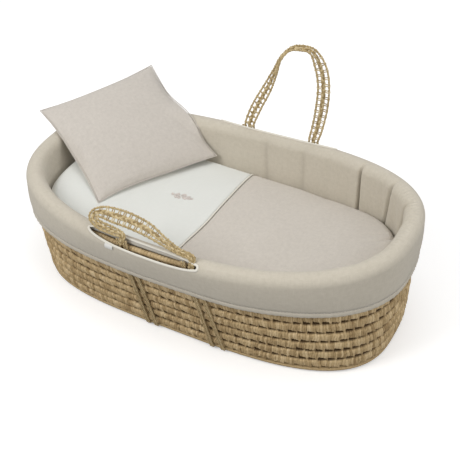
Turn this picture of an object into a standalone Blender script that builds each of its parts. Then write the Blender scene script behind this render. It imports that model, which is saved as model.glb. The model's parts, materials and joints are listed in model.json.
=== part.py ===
"""Moses basket: a woven maize-husk basket with rope handles, a padded fabric liner that rolls over the
rim, a mattress with its cover and sheet, a quilt and a pillow.

Units are metres, +Z is up. The origin is the centre of the flat underside. +X is the foot end, -X the
head end where the pillow lies, -Y the near side and +Y the far side.

A place on the basket is given by its bearing (angle round the basket, from +X towards +Y), its distance
out from the middle of the wall's thickness, and its height. A side is -1 for near and +1 for far.
"""

import math

import bmesh
import bpy
import numpy as np

# ---- driving dimensions ------------------------------------------------------------------------------
# outline
HALF_LENGTH = 0.400  # middle of the wall to the centre, along X, at the rim
HALF_WIDTH = 0.228  # the same along Y
TUCK, NARROW = 0.019, 0.031  # how much shorter and narrower each half of the base is than the rim
FOOT_SHIFT = 0.020  # the lower wall sits this far towards the foot, so the head end leans out
HEAD_POWER, HEAD_ROUNDING = 3.8, 1.2  # superellipse power at the base, and its loss at the rim
FOOT_POWER, FOOT_ROUNDING = 2.9, 0.4
AROUND = 38  # points round the basket
KNOTS = (0.0, 0.5, 0.75, 1.0)  # shares of the wall height between which it is straight

# basket
WALL = 0.0090  # thickness of the woven wall
BASE = 0.0100  # thickness of the woven base
GAP = 0.0003  # clearance between neighbouring pieces
COURSES = 9  # coil courses in the wall, under the rim coil
RIM_COIL = 0.0065  # radius of the rim coil
RIM_LOW = 0.218  # height of the rim coil's centre at mid length
RIM_SLOPE, RIM_BOW = 0.039, 0.13  # its rise with x and with x squared

# liner
ROLL = 0.0201  # outer radius of the padded roll over the rim
FABRIC = 0.0020  # face fabric of the liner
SLOT_HALF_WIDTH = 0.0145  # of a handle slot
SLOTS = (("near", -1, (-0.168, 0.100)), ("far", 1, (-0.116, 0.162)))  # name, side, x of the ends

# ropes and handles
ROPE_W, ROPE_T = 0.0080, 0.0044  # a carry rope as it lies on the wall
STRAP_T = 0.0080  # thickness of a handle strap
PIVOT_Y, PIVOT_Z = 0.2365, 0.2450  # where a handle bends as it leaves the liner
NEAR_ROOTS = (-0.083, 0.066)  # x of the near handle's two roots
FAR_ROOTS = (-0.046, 0.107)

# bedding
BED_X = 0.005  # centre of the bedding
MATTRESS_LOW, MATTRESS_TOP = 0.0124, 0.0900
QUILT_EDGE = 0.1500  # height of the quilt's upper edge at mid length
QUILT_CROWN = 0.0115  # rise of the quilt from its edge to its middle
PIPING_X = -0.0120  # where the quilt's white band meets its plain part
PILLOW_T = 0.058
PILLOW_EDGE_T = 0.0036

# name: base colour, roughness
COLOURS = {
    "husk": ((0.52, 0.40, 0.25, 1), 0.8),
    "rope": ((0.58, 0.46, 0.30, 1), 0.8),
    "face_fabric": ((0.62, 0.57, 0.50, 1), 0.9),
    "backing_fabric": ((0.72, 0.70, 0.66, 1), 0.9),
    "wadding": ((0.90, 0.90, 0.88, 1), 1.0),
    "binding": ((0.84, 0.81, 0.73, 1), 0.85),
    "elastic": ((0.85, 0.85, 0.83, 1), 0.6),
    "label": ((0.88, 0.88, 0.86, 1), 0.7),
    "foam": ((0.88, 0.86, 0.72, 1), 1.0),
    "sheet": ((0.86, 0.86, 0.83, 1), 0.9),
    "quilt_plain": ((0.66, 0.61, 0.54, 1), 0.9),
    "quilt_white": ((0.85, 0.85, 0.81, 1), 0.9),
    "thread": ((0.66, 0.61, 0.55, 1), 0.6),
    "pillow_fabric": ((0.64, 0.59, 0.53, 1), 0.9),
}


# ---- scene helpers -----------------------------------------------------------------------------------
def make_material(name, colour, roughness):
    material = bpy.data.materials.new(name)
    material.use_nodes = True
    shader = material.node_tree.nodes["Principled BSDF"]
    shader.inputs["Base Color"].default_value = colour
    shader.inputs["Roughness"].default_value = roughness
    shader.inputs["Metallic"].default_value = 0.0
    return material


for old in list(bpy.data.objects):
    bpy.data.objects.remove(old, do_unlink=True)

MATERIALS = {name: make_material(name, *look) for name, look in COLOURS.items()}


def make(name, points, faces, colour, parent=None, smooth=40):
    """One closed mesh object with its faces pointing out. smooth is the sharp-edge angle in degrees,
    or 0 for flat shading."""
    mesh = bpy.data.meshes.new(name)
    mesh.from_pydata([tuple(map(float, p)) for p in points], [], [tuple(f) for f in faces])
    work = bmesh.new()
    work.from_mesh(mesh)
    bmesh.ops.recalc_face_normals(work, faces=work.faces)
    if work.calc_volume(signed=True) < 0:
        bmesh.ops.reverse_faces(work, faces=work.faces)
    work.to_mesh(mesh)
    work.free()
    if colour:
        mesh.materials.append(MATERIALS[colour])
    obj = bpy.data.objects.new(name, mesh)
    bpy.context.scene.collection.objects.link(obj)
    if smooth:
        mesh.shade_smooth()
        mesh.set_sharp_from_angle(angle=math.radians(smooth))
    if parent is not None:
        # the mesh is written in world metres, so it is moved back by the parent's place
        mesh.transform(parent.matrix_world.inverted())
        obj.parent = parent
    return obj


def pivot(name, place):
    """An empty on a joint's axis, the parent of what turns or slides there."""
    empty = bpy.data.objects.new(name, None)
    empty.location = place
    bpy.context.scene.collection.objects.link(empty)
    bpy.context.view_layer.update()
    return empty


def boolean(obj, cutter, operation="DIFFERENCE"):
    cutter.hide_render = True
    cutter.display_type = "WIRE"
    modifier = obj.modifiers.new(operation.title(), "BOOLEAN")
    modifier.operation = operation
    modifier.solver = "EXACT"
    modifier.object = cutter
    return obj


# ---- mesh builders -----------------------------------------------------------------------------------
def band(rings, first, second, rising=None):
    """Triangles between two rings. The diagonal runs from the lower ring to the next point of the upper
    one, whichever comes first, so that nested pieces fold along the same lines."""
    count = len(rings[0])
    if rising is None:
        rising = rings[second][:, 2].mean() > rings[first][:, 2].mean()
    faces = []
    for i in range(count):
        n = (i + 1) % count
        a, b, c, d = first * count + i, first * count + n, second * count + n, second * count + i
        faces += [(a, b, c), (a, c, d)] if rising else [(a, b, d), (b, c, d)]
    return faces


def loops(rings, closed, rising=None):
    """Points and faces of rings of equal size joined in order; closed joins the last to the first."""
    rings = [np.asarray(ring, float) for ring in rings]
    faces = []
    for j in range(len(rings) if closed else len(rings) - 1):
        faces += band(rings, j, (j + 1) % len(rings), rising)
    return np.concatenate(rings), faces


def hoop(name, section, colour):
    """A closed ring round the basket. section lists (distance out, height)."""
    points, faces = loops([wall_point(BEARINGS, out, z) for out, z in section], True)
    return make(name, points, faces, colour)


def stack(name, rings, colour, parent=None, smooth=40):
    """A closed body of stacked rings, with a fan at each end."""
    points, faces = loops(rings, False, True)
    count, last = len(rings[0]), (len(rings) - 1) * len(rings[0])
    points = np.concatenate([points, [rings[0].mean(0), rings[-1].mean(0)]])
    for i in range(count):
        n = (i + 1) % count
        faces.append((len(points) - 2, n, i))
        faces.append((len(points) - 1, last + i, last + n))
    return make(name, points, faces, colour, parent, smooth)


def cap_shell(name, outer, inner, colour, parent):
    """A thin cover open below: outer rings run up to a crown, inner rings run down from it."""
    rings = outer + inner
    count, turn = len(outer[0]), len(outer)
    points = np.concatenate(rings + [outer[-1].mean(0)[None], inner[0].mean(0)[None]])
    faces = []
    for j in range(turn - 1):
        faces += band(rings, j, j + 1, True)
    for j in range(turn, len(rings) - 1):
        faces += band(rings, j, j + 1, False)
    faces += band(rings, len(rings) - 1, 0)
    last_outer, first_inner = (turn - 1) * count, turn * count
    for i in range(count):
        n = (i + 1) % count
        faces.append((last_outer + i, last_outer + n, len(points) - 2))
        faces.append((first_inner + n, first_inner + i, len(points) - 1))
    return make(name, points, faces, colour, parent)


def prism(name, ends, colour=None):
    """A flat-shaded body between two four-cornered ends."""
    points, faces = loops(ends, False)
    return make(name, points, faces + [(0, 1, 2, 3), (4, 5, 6, 7)], colour, smooth=0)


def rectangle(low_u, high_u, low_v, high_v):
    return [(low_u, low_v), (high_u, low_v), (high_u, high_v), (low_u, high_v)]


def box(name, x_ends, y_ends, z_ends):
    return prism(name, [[[x, y, z] for y, z in rectangle(*y_ends, *z_ends)] for x in x_ends])


def ellipse(half_width, half_height, count):
    angles = [math.radians(360 * k / count) for k in range(count)]
    return [(half_width * math.cos(a), half_height * math.sin(a)) for a in angles]


def sweep(name, path, side, up, section, colour, parent=None, closed=False):
    """Carries a section of (along side, along up) points along a path; the ends are flat caps.
    section is either one section, or a list with one for each point of the path."""
    sections = np.broadcast_to(section, (len(path),) + np.shape(section)[-2:])
    rings = [
        [path[k] + u * side[k] + v * up[k] for u, v in sections[k]] for k in range(len(path))
    ]
    points, faces = loops(rings, closed)
    if not closed:
        count = len(rings[0])
        faces.append(tuple(range(count)))
        faces.append(tuple(range((len(rings) - 1) * count, len(rings) * count)))
    return make(name, points, faces, colour, parent)


def unit(v):
    return v / np.linalg.norm(v, axis=-1, keepdims=True) if False else v / np.linalg.norm(
        v, axis=-1, keepdims=True
    )


def along(path):
    """Unit tangents of an open path."""
    return unit(np.gradient(path, axis=0))


def smooth_path(knots, count):
    """A Catmull-Rom curve through the knots, cut at equal lengths."""
    knots = np.asarray(knots, float)
    knots = np.concatenate([[2 * knots[0] - knots[1]], knots, [2 * knots[-1] - knots[-2]]])
    fine = []
    for i in range(1, len(knots) - 2):
        before, start, end, after = knots[i - 1 : i + 3]
        for t in np.linspace(0, 1, 24, endpoint=False):
            fine.append(
                0.5
                * (
                    2 * start
                    + (end - before) * t
                    + (2 * before - 5 * start + 4 * end - after) * t * t
                    + (3 * start - before - 3 * end + after) * t**3
                )
            )
    fine.append(knots[-2])
    fine = np.array(fine)
    steps = np.linalg.norm(np.diff(fine, axis=0), axis=1)
    length = np.concatenate([[0], np.cumsum(steps)])
    cuts = np.linspace(0, length[-1], count)
    return np.stack([np.interp(cuts, length, column) for column in fine.T], 1)


def ease(t):
    """Smooth step from 0 to 1."""
    t = np.clip(t, 0, 1)
    return t * t * (3 - 2 * t)


# ---- the basket's shape ------------------------------------------------------------------------------
def rim_height(x):
    """Height of the rim coil's centre: lowest near the middle, rising to both ends, more to the foot."""
    return RIM_LOW + RIM_SLOPE * x + RIM_BOW * x * x


def oval(bearing, share, out=0.0):
    """Plan points of the wall at a share of its height, moved out. It is squarish at the base and
    rounder at the rim."""

    def outline(angle):
        cosine, sine = np.cos(angle), np.sin(angle)
        foot = 0.5 + 0.5 * np.tanh(4 * cosine)  # 0 at the head end, 1 at the foot end
        head_power = HEAD_POWER - HEAD_ROUNDING * share**2
        foot_power = FOOT_POWER - FOOT_ROUNDING * share**0.6
        power = head_power * (1 - foot) + foot_power * foot
        half_length = HALF_LENGTH - TUCK * (1 - share)
        half_width = HALF_WIDTH - NARROW * (1 - share)
        radius = (
            np.abs(cosine / half_length) ** power + np.abs(sine / half_width) ** power
        ) ** (-1 / power)
        shift = FOOT_SHIFT * (1 - share**2)
        return np.stack([radius * cosine + shift, radius * sine], -1)

    step = outline(bearing + 1e-4) - outline(bearing - 1e-4)
    normal = unit(np.stack([step[..., 1], -step[..., 0]], -1))
    return outline(bearing) + np.asarray(out, float)[..., None] * normal


def ruled(bearing, share, out):
    """The same with a share for each bearing, and the wall straight between the knots, so that nested
    pieces stay parallel."""
    found = np.zeros(np.shape(bearing) + (2,))
    for low, high in zip(KNOTS[:-1], KNOTS[1:]):
        part = ((share - low) / (high - low))[..., None]
        mix = oval(bearing, low, out) * (1 - part) + oval(bearing, high, out) * part
        found = np.where((part >= 0) & (part <= 1), mix, found)
    return found


def spread_bearings(count):
    """Bearings that share out the outline's length and its turning evenly."""
    fine = np.linspace(0, 2 * math.pi, 3601)
    step = np.diff(oval(fine, 0.8), axis=0)
    length = np.linalg.norm(step, axis=1)
    heading = np.unwrap(np.arctan2(step[:, 1], step[:, 0]))
    turn = np.abs(np.diff(np.append(heading, heading[0] + 2 * math.pi)))
    weight = length / length.sum() + 0.9 * turn / turn.sum()
    total = np.concatenate([[0], np.cumsum(weight)])
    return np.interp(np.arange(count) / count * total[-1], total, fine)


def bearing_at(x, share, side):
    """Bearing whose wall point at a share of the height has this x, on one side."""
    fine = np.linspace(0.3, math.pi - 0.3, 1200) * side
    return float(np.interp(-x, -oval(fine, share)[:, 0], fine))


def rim_bearings(slot_ends, places):
    """Rim bearings and half-length scaled places (-1 to 1) between two x values are not needed apart."""


def centre_height(bearing):
    """Height of the rim coil's centre at a bearing."""
    return rim_height(oval(bearing, 1.0)[..., 0])


def wall_point(bearing, out, z):
    """The points at an array of bearings, at a distance out from the wall's middle and a height."""
    z = np.broadcast_to(z, np.shape(bearing))
    high = centre_height(bearing) - RIM_COIL - GAP
    share = np.clip((z - BASE - GAP) / (high - BASE - GAP), 0, 1)
    return np.concatenate([ruled(bearing, share, out), z[..., None]], -1)


BEARINGS = spread_bearings(AROUND)
RIM_Z = centre_height(BEARINGS)
WALL_LOW = BASE + GAP
WALL_HIGH = RIM_Z - RIM_COIL - GAP


def at_share(share):
    """Height of the wall at a share of its height, for each bearing."""
    return WALL_LOW + (WALL_HIGH - WALL_LOW) * share


def arc(radius, angles):
    """(distance out, height) on a circle round the rim coil's centre, at angles in degrees: 0 is
    outwards, 90 is up."""
    turns = [math.radians(angle) for angle in angles]
    return [(radius * math.cos(turn), RIM_Z + radius * math.sin(turn)) for turn in turns]


# ---- woven basket ------------------------------------------------------------------------------------
BASE_PROFILE = ((-0.0070, 0.0), (-0.0005, 0.0022), (0.0032, 0.0062), (0.0040, BASE))  # out, height

base = stack("basket_base", [wall_point(BEARINGS, out, z) for out, z in BASE_PROFILE], "husk")

for course in range(COURSES):
    course_low = at_share(course / COURSES) + GAP / 2
    course_high = at_share((course + 1) / COURSES) - GAP / 2
    section = rectangle(-WALL / 2, WALL / 2, course_low, course_high)
    hoop(f"wall_course_{course + 1}", section, "husk")

hoop("rim_coil", arc(RIM_COIL, range(0, 360, 45)), "husk")


# ---- carry ropes: each runs down the near wall, under the base and up the far wall -------------------
UNDER_Z = 0.0030  # height of a rope's middle under the base
GROOVE_LOW, GROOVE_HIGH = -0.0030, 0.0078
GROOVE_CLEARANCE = 0.0008  # beside the rope
GROOVE_OVERRUN = 0.12  # share of the length added at each end

# one side of a rope, from its top: share of the way from top x to low x, distance out, height
ROPE_RUN = (
    (0.00, 0.0085, 0.2380),
    (0.08, 0.0098, 0.2210),
    (0.16, 0.0080, 0.2030),
    (0.32, 0.0071, 0.1690),
    (0.52, 0.0071, 0.1200),
    (0.74, 0.0071, 0.0700),
    (0.92, 0.0071, 0.0260),
    (0.99, 0.0067, 0.0090),
    (1.00, 0.0030, 0.0036),
    (1.00, -0.0060, UNDER_Z),
)

# name, then x at the near top, near low, far low and far top
CARRY_ROPES = (
    ("head_carry_rope_outer", -0.092, -0.055, -0.052, -0.060),
    ("head_carry_rope_inner", -0.077, -0.036, -0.034, -0.045),
    ("foot_carry_rope_inner", 0.050, 0.093, 0.096, 0.094),
    ("foot_carry_rope_outer", 0.066, 0.117, 0.119, 0.109),
)


def rope_side(top_x, low_x, side):
    """Points of a carry rope down one wall and round the edge of the base."""
    points = []
    for share, out, z in ROPE_RUN:
        x = top_x + (low_x - top_x) * share
        bearing = bearing_at(x, min(1, z / RIM_LOW), side)
        points.append(wall_point(np.array([bearing]), out, z)[0])
    return points


def groove_cutter(name, start, end):
    """A bar along the rope's straight run under the base."""
    overrun = (end - start) * GROOVE_OVERRUN
    sideways = np.cross([0, 0, 1.0], unit(end - start))
    half = ROPE_W / 2 + GROOVE_CLEARANCE
    corners = rectangle(-half, half, GROOVE_LOW - UNDER_Z, GROOVE_HIGH - UNDER_Z)
    ends = [
        [place + sideways * across + np.array([0, 0, rise]) for across, rise in corners]
        for place in (start - overrun, end + overrun)
    ]
    return prism(name, ends)


def carry_rope(name, near_top, near_low, far_low, far_top):
    near = rope_side(near_top, near_low, -1)
    far = rope_side(far_top, far_low, 1)[::-1]
    middle = (near[-1] + far[0]) / 2
    path = np.array(near + [np.array([middle[0], middle[1], UNDER_Z])] + far)
    tangent = along(path)
    up = unit(np.cross(tangent, [1.0, 0.0, 0.0]))
    across = unit(np.cross(up, tangent))
    sweep(name, path, across, up, ellipse(ROPE_W / 2, ROPE_T / 2, 6), "rope")
    boolean(base, groove_cutter("groove_" + name, near[-1], far[0]))


for rope in CARRY_ROPES:
    carry_rope(*rope)


# ---- handles -----------------------------------------------------------------------------------------
HANDLE_POINTS = 21  # along a strap
EDGE_ROPE_W = 0.0062
BRAID_GAP = 0.0010  # between the braid and an edge rope
BRAID_HALF, BRAID_EDGE_HALF = 0.0036, 0.0028  # half-thickness at the braid's middle and at its edges
NEAR_LEAN, FAR_LEAN = 50, 0  # degrees from upright, towards +Y

# stations along a strap: x, height up the loop, twist in degrees, strap width
NEAR_STATIONS = (  # flopped towards the head
    (NEAR_ROOTS[1], 0.0048, 0, 0.0150),
    (0.058, 0.0075, 0, 0.0150),
    (0.036, 0.0095, 0, 0.0155),
    (0.000, 0.0185, 0, 0.0210),
    (-0.040, 0.0295, 0, 0.0300),
    (-0.080, 0.0340, 0, 0.0330),
    (-0.112, 0.0345, 0, 0.0330),
    (-0.138, 0.0335, 10, 0.0270),
    (-0.1545, 0.0270, 20, 0.0190),
    (-0.1545, 0.0165, 20, 0.0160),
    (-0.136, 0.0085, 0, 0.0155),
    (-0.104, 0.0055, 0, 0.0155),
    (NEAR_ROOTS[0], 0.003, 0, 0.0150),
)
FAR_STATIONS = (  # upright
    (FAR_ROOTS[0], 0.003, 0, 0.026),
    (-0.029, 0.050, 0, 0.027),
    (-0.006, 0.101, 20, 0.026),
    (0.010, 0.143, 45, 0.024),
    (0.022, 0.178, 70, 0.024),
    (0.043, 0.205, 85, 0.024),
    (0.068, 0.213, 85, 0.024),
    (0.093, 0.210, 80, 0.024),
    (0.113, 0.176, 25, 0.028),
    (0.121, 0.134, 0, 0.031),
    (0.120, 0.085, 0, 0.031),
    (0.114, 0.037, 0, 0.029),
    (FAR_ROOTS[1], 0.003, 0, 0.0262),
)


def braid_section(width):
    half = width / 2 - EDGE_ROPE_W - BRAID_GAP
    lower = [(-half, -BRAID_EDGE_HALF), (0, -BRAID_HALF), (half, -BRAID_EDGE_HALF)]
    upper = [(half, BRAID_EDGE_HALF), (0, BRAID_HALF), (-half, BRAID_EDGE_HALF)]
    return lower + upper


def edge_section(width, sign):
    middle = sign * (width / 2 - EDGE_ROPE_W / 2)
    return [(middle + u, v) for u, v in ellipse(EDGE_ROPE_W / 2, STRAP_T / 2, 6)]


def handle(prefix, side, lean, stations):
    """A braided strap on its pivot: two edge ropes with a braid between."""
    place = np.array([0, side * PIVOT_Y, PIVOT_Z])
    parent = pivot(f"{prefix}_pivot", place)
    rise = np.array([0, math.sin(math.radians(lean)), math.cos(math.radians(lean))])
    stations = np.array(stations)
    knots = stations[:, :2]
    loop = smooth_path(knots, HANDLE_POINTS)
    path = place + np.outer(loop[:, 0], [1, 0, 0]) + np.outer(loop[:, 1], rise)

    chords = np.linalg.norm(np.diff(knots, axis=0), axis=1)
    length = np.concatenate([[0], np.cumsum(chords)])
    station_share = length / length[-1]
    share = np.linspace(0, 1, HANDLE_POINTS)
    twist = np.radians(np.interp(share, station_share, stations[:, 2]))[:, None]
    widths = np.interp(share, station_share, stations[:, 3])

    tangent = along(path)
    normal = unit(np.cross([1.0, 0, 0], rise))
    across = unit(np.cross(tangent, normal)) * np.cos(twist) + normal * np.sin(twist)
    up = unit(np.cross(tangent, across))
    for number, sign in ((1, -1), (2, 1)):
        sections = [edge_section(width, sign) for width in widths]
        sweep(f"{prefix}_edge_rope_{number}", path, across, up, sections, "rope", parent)
    sections = [braid_section(width) for width in widths]
    sweep(f"{prefix}_braid", path, across, up, sections, "rope", parent)


handle("near_handle", -1, NEAR_LEAN, NEAR_STATIONS)
handle("far_handle", 1, FAR_LEAN, FAR_STATIONS)


# ---- padded liner ------------------------------------------------------------------------------------
FACE_IN = ROLL - FABRIC  # inner radius of the face fabric
WAD_OUT, WAD_IN = FACE_IN - 0.0003, RIM_COIL + 0.0007  # radii of the wadding over the rim
WAD_END_RISE = 0.0030  # where the wadding stops outside the rim, above the coil's centre
FLOOR_LOW, FLOOR_T = BASE + 0.0004, 0.0014
FLOOR_OUT = -0.0052
SIDE_LOW = 0.0122
BACKING = 0.0066  # the liner's backing stands this far inside the wall's middle
BACKING_T = 0.0010
BACKING_DROP = 0.0015  # from the wall's top to the backing's top
WADDING_INSIDE = BACKING + 0.0014  # the wadding's wall side, inside the wall's middle

# height of the liner's hem outside the wall
hem_x = oval(BEARINGS, 0.7)[..., 0]
HEM = 0.1511 + 0.0143 * hem_x + 0.0699 * hem_x * hem_x
SKIRT_MIDDLE = (RIM_Z + HEM) / 2
SKIRT_LOW = HEM + 0.0121

SIDE_KNOTS = [SIDE_LOW, at_share(KNOTS[1]), at_share(KNOTS[2])]
SIDE_HEIGHTS = SIDE_KNOTS + [WALL_HIGH]
BACKING_HEIGHTS = SIDE_KNOTS + [WALL_HIGH - BACKING_DROP]


def upright(out, heights):
    return [(out, z) for z in heights]


floor_rings = [wall_point(BEARINGS, FLOOR_OUT, z) for z in (FLOOR_LOW, FLOOR_LOW + FLOOR_T)]
stack("liner_floor", floor_rings, "backing_fabric")

hoop(
    "liner_backing",
    upright(-BACKING, BACKING_HEIGHTS) + upright(-BACKING - BACKING_T, BACKING_HEIGHTS[::-1]),
    "backing_fabric",
)

wadding = hoop(
    "liner_wadding",
    upright(-WADDING_INSIDE, SIDE_HEIGHTS)
    + arc(WAD_IN, (180, 135, 90, 45))
    + [(WAD_IN + 0.0002, RIM_Z + WAD_END_RISE), (WAD_OUT - 0.0018, RIM_Z + WAD_END_RISE)]
    + arc(WAD_OUT, (45, 90, 135, 180))
    + upright(-WAD_OUT, SIDE_HEIGHTS[::-1]),
    "wadding",
)

face = hoop(
    "liner_face_fabric",
    upright(-ROLL, SIDE_HEIGHTS)
    + arc(ROLL, (180, 135, 90, 45, 0))
    + [(0.0166, SKIRT_MIDDLE), (0.0132, SKIRT_LOW)]
    + [(0.0132 - FABRIC, SKIRT_LOW), (0.0166 - FABRIC, SKIRT_MIDDLE)]
    + arc(FACE_IN, (0, 45, 90, 135, 180))
    + upright(-FACE_IN, SIDE_HEIGHTS[::-1]),
    "face_fabric",
)

# distance out, height above the hem
CASING_SECTION = (
    (0.0134, 0.0118), (0.0132, 0.0), (0.0100, 0.0), (0.0100, 0.0072),
    (0.0105, 0.0072), (0.0105, 0.0006), (0.0124, 0.0006), (0.0126, 0.0118),
)
hoop("liner_hem_casing", [(out, HEM + rise) for out, rise in CASING_SECTION], "face_fabric")
hoop("hem_elastic", rectangle(0.0110, 0.0119, HEM + 0.0013, HEM + 0.0058), "elastic")


# ---- handle slots ------------------------------------------------------------------------------------
WADDING_HOLD_BACK = 0.0036  # the wadding's opening is this much wider than the slot at each edge
CUT_BELOW, CUT_ABOVE = 0.0040, 0.0400  # reach of a cutter from the rim coil's centre
BINDING_RADIUS = 0.0016
BINDING_LIFT = 0.0021  # middle of the binding above the roll
BINDING_POINTS = 26
BINDING_LONGER, BINDING_WIDER = 1.006, 1.10  # binding's size as shares of the slot's


def rim_bearings(middle, half, shares, side):
    """Bearings on the rim whose x lies at shares (-1 to 1) of a half-length from the middle."""
    return np.array([bearing_at(middle + half * share, 1.0, side) for share in shares])


def slot_cutter(name, ends, side, more=0.0):
    """An upright body of the slot's outline, widened by more at each edge and lengthened by three
    times as much at each end."""
    half = (ends[1] - ends[0]) / 2 + 3 * more
    shares = np.sin(np.linspace(-1, 1, 11) * math.pi / 2)
    bearing = rim_bearings((ends[0] + ends[1]) / 2, half, shares, side)
    taper = np.sqrt(np.clip(1 - np.abs(shares) ** 5, 0, 1))
    width = (SLOT_HALF_WIDTH + more) * taper
    top = centre_height(bearing)
    outer = wall_point(bearing, width, top)
    inner = wall_point(bearing, -width, top)[1:-1]
    outline = np.concatenate([outer, inner[::-1]])
    rings = [outline - [0, 0, CUT_BELOW], outline + [0, 0, CUT_ABOVE]]
    return stack(name, rings, None, smooth=0)


def slot_binding(name, ends, side):
    """Bias tape round a handle slot, standing on the roll."""
    angle = np.arange(BINDING_POINTS) / BINDING_POINTS * 2 * math.pi
    middle, half = (ends[0] + ends[1]) / 2, (ends[1] - ends[0]) / 2
    bearing = rim_bearings(middle, half, BINDING_LONGER * np.cos(angle), side)
    sine = np.sin(angle)
    out = BINDING_WIDER * SLOT_HALF_WIDTH * np.sign(sine) * np.abs(sine) ** 0.8
    top = centre_height(bearing)
    path = wall_point(bearing, out, top)
    path[:, 2] += np.sqrt((ROLL + BINDING_LIFT) ** 2 - out**2)
    axis = wall_point(bearing, 0.0, top)
    tangent = unit(np.roll(path, -1, 0) - np.roll(path, 1, 0))
    across = unit(np.cross(tangent, unit(path - axis)))
    up = unit(np.cross(across, tangent))
    section = ellipse(BINDING_RADIUS, BINDING_RADIUS, 5)
    sweep(name, path, across, up, section, "binding", closed=True)


for slot_name, slot_side, slot_ends in SLOTS:
    boolean(face, slot_cutter(f"{slot_name}_slot_cutter", slot_ends, slot_side))
    # the wadding is held back from the opening, so that the face fabric can be turned in round it
    hold_back = slot_cutter(
        f"{slot_name}_wadding_cutter", slot_ends, slot_side, WADDING_HOLD_BACK
    )
    boolean(wadding, hold_back)
    slot_binding(f"{slot_name}_slot_binding", slot_ends, slot_side)


# ---- blank label tab under the outer edge of the near slot -------------------------------------------
TAB_ENDS = (-0.140, -0.123)  # x
# distance out, height above the rim coil's centre
TAB_SECTION = ((0.0190, 0.0125), (0.0212, 0.0065), (0.0219, 0.0067), (0.0197, 0.0128))


def tab_end(x):
    bearing = np.array([bearing_at(x, 1.0, -1)])
    top = centre_height(bearing)
    return [wall_point(bearing, out, top)[0] + [0, 0, rise] for out, rise in TAB_SECTION]


prism("label_tab", [tab_end(x) for x in TAB_ENDS], "label")


# ---- bedding: shared shape ---------------------------------------------------------------------------
def polar(outline):
    """Angles and radii of plan points about the bed's centre."""
    offset = outline - [BED_X, 0]
    angle = np.unwrap(np.arctan2(offset[:, 1], offset[:, 0]))
    return angle, np.linalg.norm(offset, axis=1)


def bed_outline(gap, lowest):
    """The largest outline that can be lifted out past the padded sides from a share of their height,
    less a gap."""
    fine = np.linspace(-math.pi, math.pi, 1441)
    wanted = (BEARINGS + math.pi) % (2 * math.pi) - math.pi
    least = np.full(len(BEARINGS), np.inf)
    for share in np.linspace(lowest, 1.0, 18):
        angle, radius = polar(oval(fine, share, -ROLL))
        least = np.minimum(least, np.interp(wanted, angle, radius, period=2 * math.pi))
    least = least - gap
    return np.stack([BED_X + least * np.cos(BEARINGS), least * np.sin(BEARINGS)], -1)


def level(outline, z, inset=0.0, share=1):
    """The outline drawn in to a share of its size and by an inset, at height z."""
    offset = outline - [BED_X, 0]
    radius = np.linalg.norm(offset, axis=1, keepdims=True)
    plan = offset * share * (radius - inset) / radius + [BED_X, 0]
    return np.concatenate([plan, np.full((len(plan), 1), z)], 1)


def bed_rise(x):
    """How far the bed's surface stands above its height at mid length: more at the head, a little at
    the foot."""
    return 0.045 * ease((-x - 0.12) / 0.22) + 0.022 * ease((x - 0.15) / 0.20)


mattress_body = pivot("mattress_body", (0, 0, 0))
quilt_body = pivot("quilt_body", (0, 0, 0))
pillow_body = pivot("pillow_body", (0, 0, 0))
quilt_body.parent = mattress_body
pillow_body.parent = quilt_body


# ---- mattress ----------------------------------------------------------------------------------------
MATTRESS = bed_outline(0.0040, 0.0)
CHAMFER_IN, CHAMFER_RISE = 0.0060, 0.0045  # softened upper and lower edges
CORE_INSET = 0.0014
COVER_T = 0.0010
ZIP_X = float(MATTRESS[:, 0].max())
SHEET = MATTRESS_TOP + 0.0004  # underside of the sheet's top
SHEET_HEM = 0.0200  # height of the sheet's lower edge


def mattress_pad(name, inset, colour):
    """The mattress's shape, drawn in on every side by an inset."""
    low, high = MATTRESS_LOW + inset, MATTRESS_TOP - inset
    rings = [
        level(MATTRESS, low, inset + CHAMFER_IN),
        level(MATTRESS, low + CHAMFER_RISE, inset),
        level(MATTRESS, high - CHAMFER_RISE, inset),
        level(MATTRESS, high, inset + CHAMFER_IN),
    ]
    return stack(name, rings, colour, mattress_body)


mattress_pad("mattress_core", CORE_INSET, "foam")
cover = mattress_pad("mattress_cover", 0.0, "sheet")
boolean(cover, mattress_pad("mattress_cover_hollow", COVER_T, None))
boolean(cover, box("zip_opening", (ZIP_X - 0.012, ZIP_X + 0.02), (-0.07, 0.07), (0.030, 0.034)))

cap_shell(
    "fitted_sheet",
    [
        level(MATTRESS, SHEET_HEM, -0.0013),
        level(MATTRESS, SHEET - 0.0035, -0.0013),
        level(MATTRESS, SHEET + 0.0009, 0.0052),
    ],
    [
        level(MATTRESS, SHEET, 0.0058),
        level(MATTRESS, SHEET - 0.0041, -0.0004),
        level(MATTRESS, SHEET_HEM, -0.0004),
    ],
    "sheet",
    mattress_body,
)


# ---- quilt -------------------------------------------------------------------------------------------
QUILT = bed_outline(0.0022, 0.55)
QUILT_ANGLES, QUILT_RADII = polar(QUILT)
QUILT_LOW = SHEET + 0.0013
BACK_T, BACK_INSET = 0.0012, 0.015
BODY_LOW = QUILT_LOW + 0.0016  # underside of the panels and the filling
SKIN = 0.0012  # thickness of the upper panels
FILLING_INSET = SKIN + 0.0024
SEAM_HALF = 0.0019  # each upper panel stops this far from the piping's middle
PIPING_RADIUS = 0.0014
PIPING_LIFT = 0.0006
PIPING_HALF_LENGTH = 0.173
SPRIG_X, SPRIG_Y = -0.104, 0.024
SPRIG_POINTS = 36
SPRIG_LIFT, SPRIG_T = 0.0018, 0.0008


def quilt_level(share, drop, inset=0.0):
    """A ring of the quilt's upper surface, crowned inwards and lowered by a drop."""
    ring = level(QUILT, 0.0, inset, share)
    ring[:, 2] = QUILT_EDGE + bed_rise(ring[:, 0]) + QUILT_CROWN * (1 - share**2) - drop
    return ring


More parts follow.
